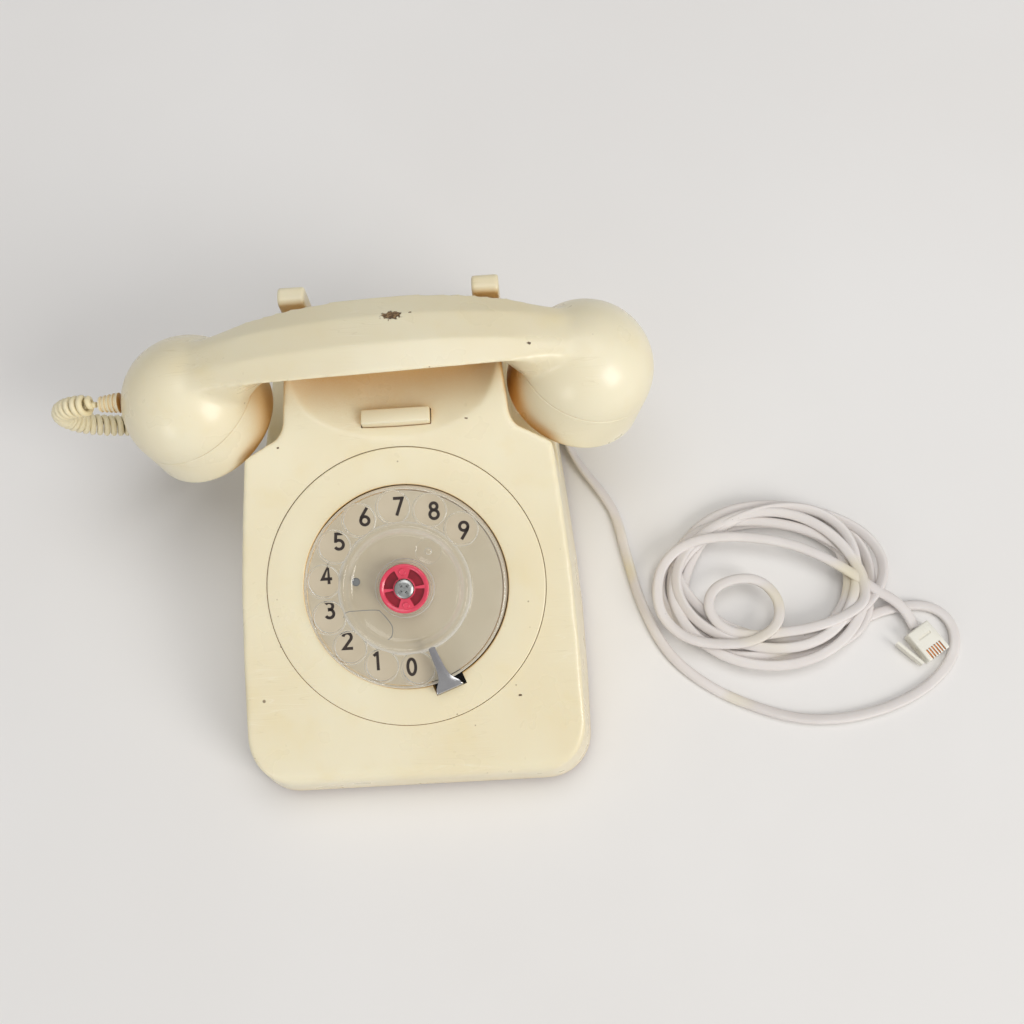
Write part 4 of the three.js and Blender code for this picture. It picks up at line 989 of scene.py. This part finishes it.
def cap(seam):
    top, bottom = seam - 0.35, CAP_BOTTOM
    rim = math.sqrt(BULB_R**2 - seam**2)
    inner = BULB_R - CAP_WALL
    turn = arc(CAP_R - CAP_RIM_R, bottom + CAP_RIM_R, CAP_RIM_R, -90, 0, 10)
    profile = [(0, bottom), *turn, (CAP_R - 0.4, bottom + 10)]
    if seam:
        profile.append((BULB_R, 0))
    floor_z = bottom + CAP_WALL
    profile += [(rim, top - 0.5), (rim - 0.4, top), (inner, top), (inner, floor_z), (0, floor_z)]
    out = lathe(profile, 128)
    for i in range(CAP_HOLES):
        x, y = polar(CAP_HOLE_CIRCLE_R, 360 / CAP_HOLES * i)
        out = combined(out, cylinder(CAP_HOLE_R, bottom - 1, bottom + 6, x, y, 24))
    return out


def cord_relief():
    profile = [(0, 0), (RELIEF_R, 0)]
    for k in range(4):
        z = 1 + 2 * k
        r = RELIEF_R - (RELIEF_R - RELIEF_TIP_R) * z / RELIEF_LENGTH
        profile += [(r, z), (r - 0.6, z + 0.3), (r - 0.6, z + 0.9), (r, z + 1.2)]
    profile += [(RELIEF_TIP_R, RELIEF_LENGTH), (0, RELIEF_LENGTH)]
    out = Matrix.Translation((-BULB_X - BULB_R - GAP, 0, RELIEF_Z)) @ Matrix.Rotation(-math.pi / 2, 4, "Y")
    at = handset_matrix() @ out
    relief = lathe(profile, 48)
    place("cord_relief", relief, "handset", IVORY, at, ["handset_cord_relief"], 40)


handset()
cord_relief()


# ---- dial ----
def bezel():
    inner, outer, top = BEZEL_INNER_R, BEZEL_R, BEZEL_PROUD
    wall, flange = inner + BEZEL_WALL, outer + 2.5
    profile = [(inner, -BEZEL_DEPTH), (wall, -BEZEL_DEPTH), (wall, -4.6)]
    profile += [(flange, -4.6), (flange, -3.1), (outer, -3.1)]
    profile += [*arc(outer - 0.7, top - 0.7, 0.7, 0, 90, 5), *arc(inner + 0.6, top - 0.6, 0.6, 90, 180, 5)]
    ring = lathe(profile, 192)
    slot = box((inner - 1, inner + 4.5), (-7.25, 7.25), (-6.5, 3))
    turn = Matrix.Rotation(math.radians(STOP_DEG), 4, "Z")
    ring = combined(ring, moved(slot, turn))
    place("bezel_ring", ring, "base", IVORY, DIAL, ["dial_bezel"], 30)
    # Painted shade: a thin black skin lines the stop's slot so that the opening reads dark.
    near, far, skin = inner - 0.6, inner + 4.4, 0.3
    well = [(near, -6.4), (far, -6.4), (far, 0.2), (far - skin, 0.2), (far - skin, -6.1), (near, -6.1)]
    painted_shade_lining = moved(across_y(well, -7.15, 7.15), turn)
    place("stop_well_painted_shade", painted_shade_lining, "base", BLACK, DIAL)


DIGIT_STROKES = {
    0: [[(1.75 * math.sin(a * math.pi / 16), 3.5 * math.cos(a * math.pi / 16)) for a in range(33)]],
    1: [[(-1.2, 2.3), (0.5, 3.75), (0.5, -4.2)]],
    2: [arc(0, 1.65, 1.85, 170, -38, 14) + [(-1.75, -3.45), (2.3, -3.45)]],
    3: [arc(-0.1, 1.8, 1.65, 150, -90, 14) + arc(-0.1, -1.6, 1.9, 90, -150, 16)],
    4: [[(0.9, -4.2), (0.9, 3.7), (-2.0, -1.9), (2.4, -1.9)]],
    5: [[(2.0, 3.45), (-1.2, 3.45), (-1.5, 0.2)] + arc(-0.1, -1.4, 2.0, 128, -150, 16)],
    6: [arc(0, -1.65, 1.85, 0, 360, 24), [(1.3, 4.1), (-0.4, 1.6), (-1.5, -0.2), (-1.85, -1.5)]],
    7: [[(-2.2, 3.45), (1.9, 3.45), (-1.0, -4.2)]],
    8: [arc(0, 1.9, 1.55, 90, 450, 20), arc(0, -1.65, 1.9, 90, 450, 24)],
    9: [arc(0, 1.65, 1.85, 0, 360, 24), [(-1.3, -4.1), (0.4, -1.6), (1.5, 0.2), (1.85, 1.5)]],
}
DIGIT_STROKE = 1.35
DIGIT_FIRST_DEG, DIGIT_STEP_DEG = 41.0, 25.45


def ribbon(line, width, z0, z1):
    """A flat stroke along points in X and Y, with mitred corners."""
    half = width / 2
    points, faces = [], []
    closed = (Vector(line[0]) - Vector(line[-1])).length < 1e-6
    n = len(line)
    for i, here in enumerate(line):
        before = line[i - 1] if i else (line[-2] if closed else None)
        after = line[i + 1] if i + 1 < n else (line[1] if closed else None)
        d1 = (Vector(here) - Vector(before)).normalized() if before else None
        d2 = (Vector(after) - Vector(here)).normalized() if after else None
        d1, d2 = d1 or d2, d2 or d1
        normal = Vector((-d1.y - d2.y, d1.x + d2.x)).normalized()
        reach = half / max(0.45, normal.dot(Vector((-d1.y, d1.x))))
        for sign in (1, -1):
            for z in (z0, z1):
                points.append((here[0] + sign * normal.x * reach, here[1] + sign * normal.y * reach, z))
    for i in range(n - 1):
        a, b = 4 * i, 4 * (i + 1)
        faces += [[a + 1, a + 3, b + 3, b + 1], [a, b, b + 2, a + 2]]
        faces += [[a, a + 1, b + 1, b], [a + 2, b + 2, b + 3, a + 3]]
    faces += [[0, 2, 3, 1], [4 * n - 4, 4 * n - 3, 4 * n - 1, 4 * n - 2]]
    return mesh_of(points, faces)


def number_plate():
    top, rim = -0.9, 45.1
    bottom = top - 1.3
    profile = [(SHAFT_HOLE_R, bottom), (rim, bottom), (rim, top - 0.2), (rim - 0.2, top), (SHAFT_HOLE_R, top)]
    plate = lathe(profile, 128)
    place("plate_disc", plate, "base", NUMBER_GREY, DIAL, ["number_plate"], 30)
    inked = []
    for i in range(10):
        x, y = polar(HOLE_CIRCLE_R, DIGIT_FIRST_DEG + i * DIGIT_STEP_DEG)
        for stroke in DIGIT_STROKES[9 - i]:
            mark = ribbon(stroke, DIGIT_STROKE, top + 0.01, top + 0.07)
            inked.append(moved(mark, Matrix.Translation((x, y, 0))))
    place("plate_digits", joined(inked), "base", INK, DIAL, smooth=0)


def finger_plate():
    low, top = 3, 5.2
    profile = [(SHAFT_HOLE_R, low), (44.2, low), (44.5, low + 0.4), (44.5, top)]
    profile += [*arc(43.7, top - 0.2, 0.8, 0, 90, 4), (43.0, top), (30.4, top)]
    profile += [*arc(30.4, top + 1.2, 1.2, 270, 200, 4), (28.6, 7.2), *arc(27.2, 7.0, 1.0, 50, 130, 5)]
    profile += [(25.2, 6.4), (24.2, 5.4), (23.6, 5.0), (22.6, 4.6), (13.2, 4.6), (12.8, 5.4)]
    profile += [(12.0, 5.4), (11.6, 4.8), (SHAFT_HOLE_R, 4.8)]
    plate = lathe(profile, 160)
    inner, outer = HOLE_R - 0.6, HOLE_R + 0.9
    lip = arc(HOLE_R + 0.35, top + 0.25, 0.55, 0, 180, 6)
    for i in range(10):
        x, y = polar(HOLE_CIRCLE_R, FIRST_HOLE_DEG + i * HOLE_STEP_DEG)
        at = Matrix.Translation((x, y, 0))
        rim = lathe([(inner, low + 0.3), (outer, low + 0.3), (outer, top + 0.1), *lip, (inner, top)], 64)
        plate = combined(plate, moved(rim, at), "UNION")
        plate = combined(plate, moved(cylinder(HOLE_R, 0, 12, segments=64), at))
    boss_x, boss_y = polar(19.3, 54)
    dish = [(0, 4.3), (5.8, 4.3), (5.8, 5.3), (5.5, 5.55), (5.0, 5.3)]
    boss = lathe([*dish, (1.6, 5.3), (1.3, 5.9), (0.6, 6.2), (0, 6.2)], 48)
    plate = combined(plate, moved(boss, Matrix.Translation((boss_x, boss_y, 0))), "UNION")
    place("clear_plate", plate, "dial", CLEAR, DIAL, ["finger_plate"], 30)
    tab = [(-28, -11.5), (-26.5, -9.6), (-24.5, -9), (-13.6, -9), (-11, -10.4)]
    tab += [(-7.4, -15.2), (-6.6, -18), (-7.2, -21), (-9, -22.6)]
    edge = ribbon([tuple(p[:2]) for p in spline([(x, y, 0) for x, y in tab], 4)], 0.3, 4.7, 4.85)
    pip_x, pip_y = polar(22, 170)
    pip = lathe([(0, 3.1), (1.9, 3.1), (1.9, 3.6), (1.5, 4.1), (0, 4.2)], 32)
    moved(pip, Matrix.Translation((pip_x, pip_y, 0)))
    place("card_tab", joined([edge, pip]), "dial", GREY, DIAL)


def ring_sector(middle, half_sweep, inner, outer):
    first, last = middle - half_sweep, middle + half_sweep
    return arc(0, 0, outer, first, last, 12) + arc(0, 0, inner, last, first, 12)


def hub():
    top = 8.2
    profile = [(SHAFT_HOLE_R, 5.8), (10.9, 5.8), (10.9, 7.6), *arc(10.3, 7.6, 0.6, 0, 90, 4)]
    ring = lathe(profile + [(9.6, 8.1), (9.0, 7.7), (SHAFT_HOLE_R, 7.7)], 96)
    for middle in HUB_WINDOWS_DEG:
        ring = combined(ring, prism(ring_sector(middle, 31, 4.9, 8.9), 6.4, 12))
    low = top - 0.1
    peg_profile = [(0, 6), (1.5, 6), (1.5, low), (1.2, top + 0.1), (0.9, low), (0, low)]
    for deg in (93, 273):
        peg = moved(lathe(peg_profile, 32), Matrix.Translation((*polar(7.4, deg), 0)))
        ring = combined(ring, peg, "UNION")
    place("hub_ring", ring, "dial", RED, DIAL, ["dial_hub"], 30)
    # Painted shade: thin darker red sheets on the window floors make the pockets look shaded.
    painted_shade_floors = [prism(ring_sector(middle, 30, 5.0, 8.8), 6.42, 6.55) for middle in HUB_WINDOWS_DEG]
    place("hub_window_shade", joined(painted_shade_floors), "dial", RED_PAINTED_SHADE, DIAL, smooth=0)


def hub_screw():
    low = 8.5
    dome = arc(2.5, low - 2.0, 3.0, 58, 90, 8)
    head = lathe([(0, low), (4.1, low), (4.1, low + 0.5), *dome, (0, low + 1.0)], 64)
    for deg in (38, 128):
        blade = box((-3.0, 3.0), (-0.55, 0.55), (low - 0.4, low + 3))
        head = combined(head, moved(blade, Matrix.Rotation(math.radians(deg), 4, "Z")))
    head = combined(head, cylinder(1.5, 2.2, low + 0.02), "UNION")
    place("hub_screw_head", head, "dial", ZINC, DIAL, ["hub_screw"], 30)


def finger_stop():
    """A pressed arm, narrow over the holes, that flares and folds down into the bezel's well."""
    stations = [(28.2, 1.3), (29.0, 1.6), (37, 1.8), (42.2, 2.4), (44.6, 3.9), (46.4, 5.7), (48.8, 6.2)]
    points, faces = [], []
    for r, half in stations:
        for y in (-half, -half * 0.5, 0, half * 0.5, half):
            bow = 0.5 * (1 - (y / half) ** 2)
            points.append((r, y, 6.7 + bow))
    n = len(stations)
    for i in range(n - 1):
        for k in range(4):
            a = 5 * i + k
            faces.append([a, a + 5, a + 6, a + 1])
    last = 5 * (n - 1)
    for z in (5.4, -3.5):
        start = len(points)
        for y in (-6.2, -3.1, 0, 3.1, 6.2):
            points.append((49.3, y, z))
        for k in range(4):
            faces.append([last + k, start + k, start + k + 1, last + k + 1])
        last = start
    sheet = mesh_of(points, faces)
    sheet = evaluated(
        sheet,
        ("SUBSURF", {"levels": 2}),
        ("SOLIDIFY", {"thickness": 0.9, "offset": -1}),
        ("BEVEL", {"width": 0.2, "segments": 2}),
    )
    turn = Matrix.Rotation(math.radians(STOP_DEG), 4, "Z")
    place("stop_arm", sheet, "base", CHROME, DIAL @ turn, ["finger_stop"], 60)


bezel()
number_plate()
finger_plate()
hub()
hub_screw()
finger_stop()


# ---- recall button ----
def recall_button():
    across = (CASE_X - BUTTON_HALF_WIDTH, CASE_X + BUTTON_HALF_WIDTH)
    along = (BUTTON_Y - BUTTON_HALF_DEPTH, BUTTON_Y + BUTTON_HALF_DEPTH)
    body = bevelled(box(across, along, (BUTTON_BOTTOM, BUTTON_TOP)), 0.7, 3)
    place("recall_bar", body, "recall", IVORY, replaces=["recall_button"])


recall_button()


# ---- stage and light ----
def floor():
    mesh = mesh_of([(-3, -3, 0), (3, -3, 0), (3, 3, 0), (-3, 3, 0)], [[0, 1, 2, 3]])
    look = Look("floor", Roughness=0.55)
    look.colour = look.mix(look.span(look.noise(3, 3), 0.3, 0.7), rgb((236, 234, 232)), rgb((232, 229, 226)))
    look.rough(0.5, 0.62, 40)
    look.bump(look.noise(500, 2), 0.00001)
    ground = bpy.data.objects.new("ground", mesh)
    ground.data.materials.append(look.done())
    scene.collection.objects.link(ground)


def area_light(name, at, size, power, colour=(1, 1, 1)):
    data = bpy.data.lights.new(name, "AREA")
    data.energy = power
    data.color = colour
    data.shape = "RECTANGLE"
    data.size, data.size_y = size
    light = bpy.data.objects.new(name, data)
    light.location = at
    toward = Vector((0.05, 0, 0.05)) - Vector(at)
    light.rotation_euler = toward.to_track_quat("-Z", "Y").to_euler()
    scene.collection.objects.link(light)


def lights():
    world = bpy.data.worlds.new("world")
    scene.world = world
    world.use_nodes = True
    nodes, links = world.node_tree.nodes, world.node_tree.links
    shade = nodes["Background"]
    place_of = nodes.new("ShaderNodeTexCoord")
    split = nodes.new("ShaderNodeSeparateXYZ")
    links.new(place_of.outputs["Generated"], split.inputs[0])
    ramp = nodes.new("ShaderNodeValToRGB")
    near, far = ramp.color_ramp.elements
    near.position, near.color = 0.25, (1, 1, 1, 1)
    far.position, far.color = 0.8, (0.4, 0.42, 0.45, 1)
    links.new(split.outputs["Y"], ramp.inputs[0])
    links.new(ramp.outputs[0], shade.inputs["Color"])
    shade.inputs["Strength"].default_value = 0.48
    area_light("window_right", (2.6, -2.0, 2.1), (1.5, 1.9), 64, (1.0, 0.985, 0.955))
    area_light("window_left", (-1.5, -2.6, 0.9), (0.9, 1.1), 8, (0.96, 0.98, 1.0))
    area_light("ceiling", (0.3, 0.3, 2.2), (1.6, 1.6), 15)
    scene.view_settings.view_transform = "Standard"


floor()
lights()
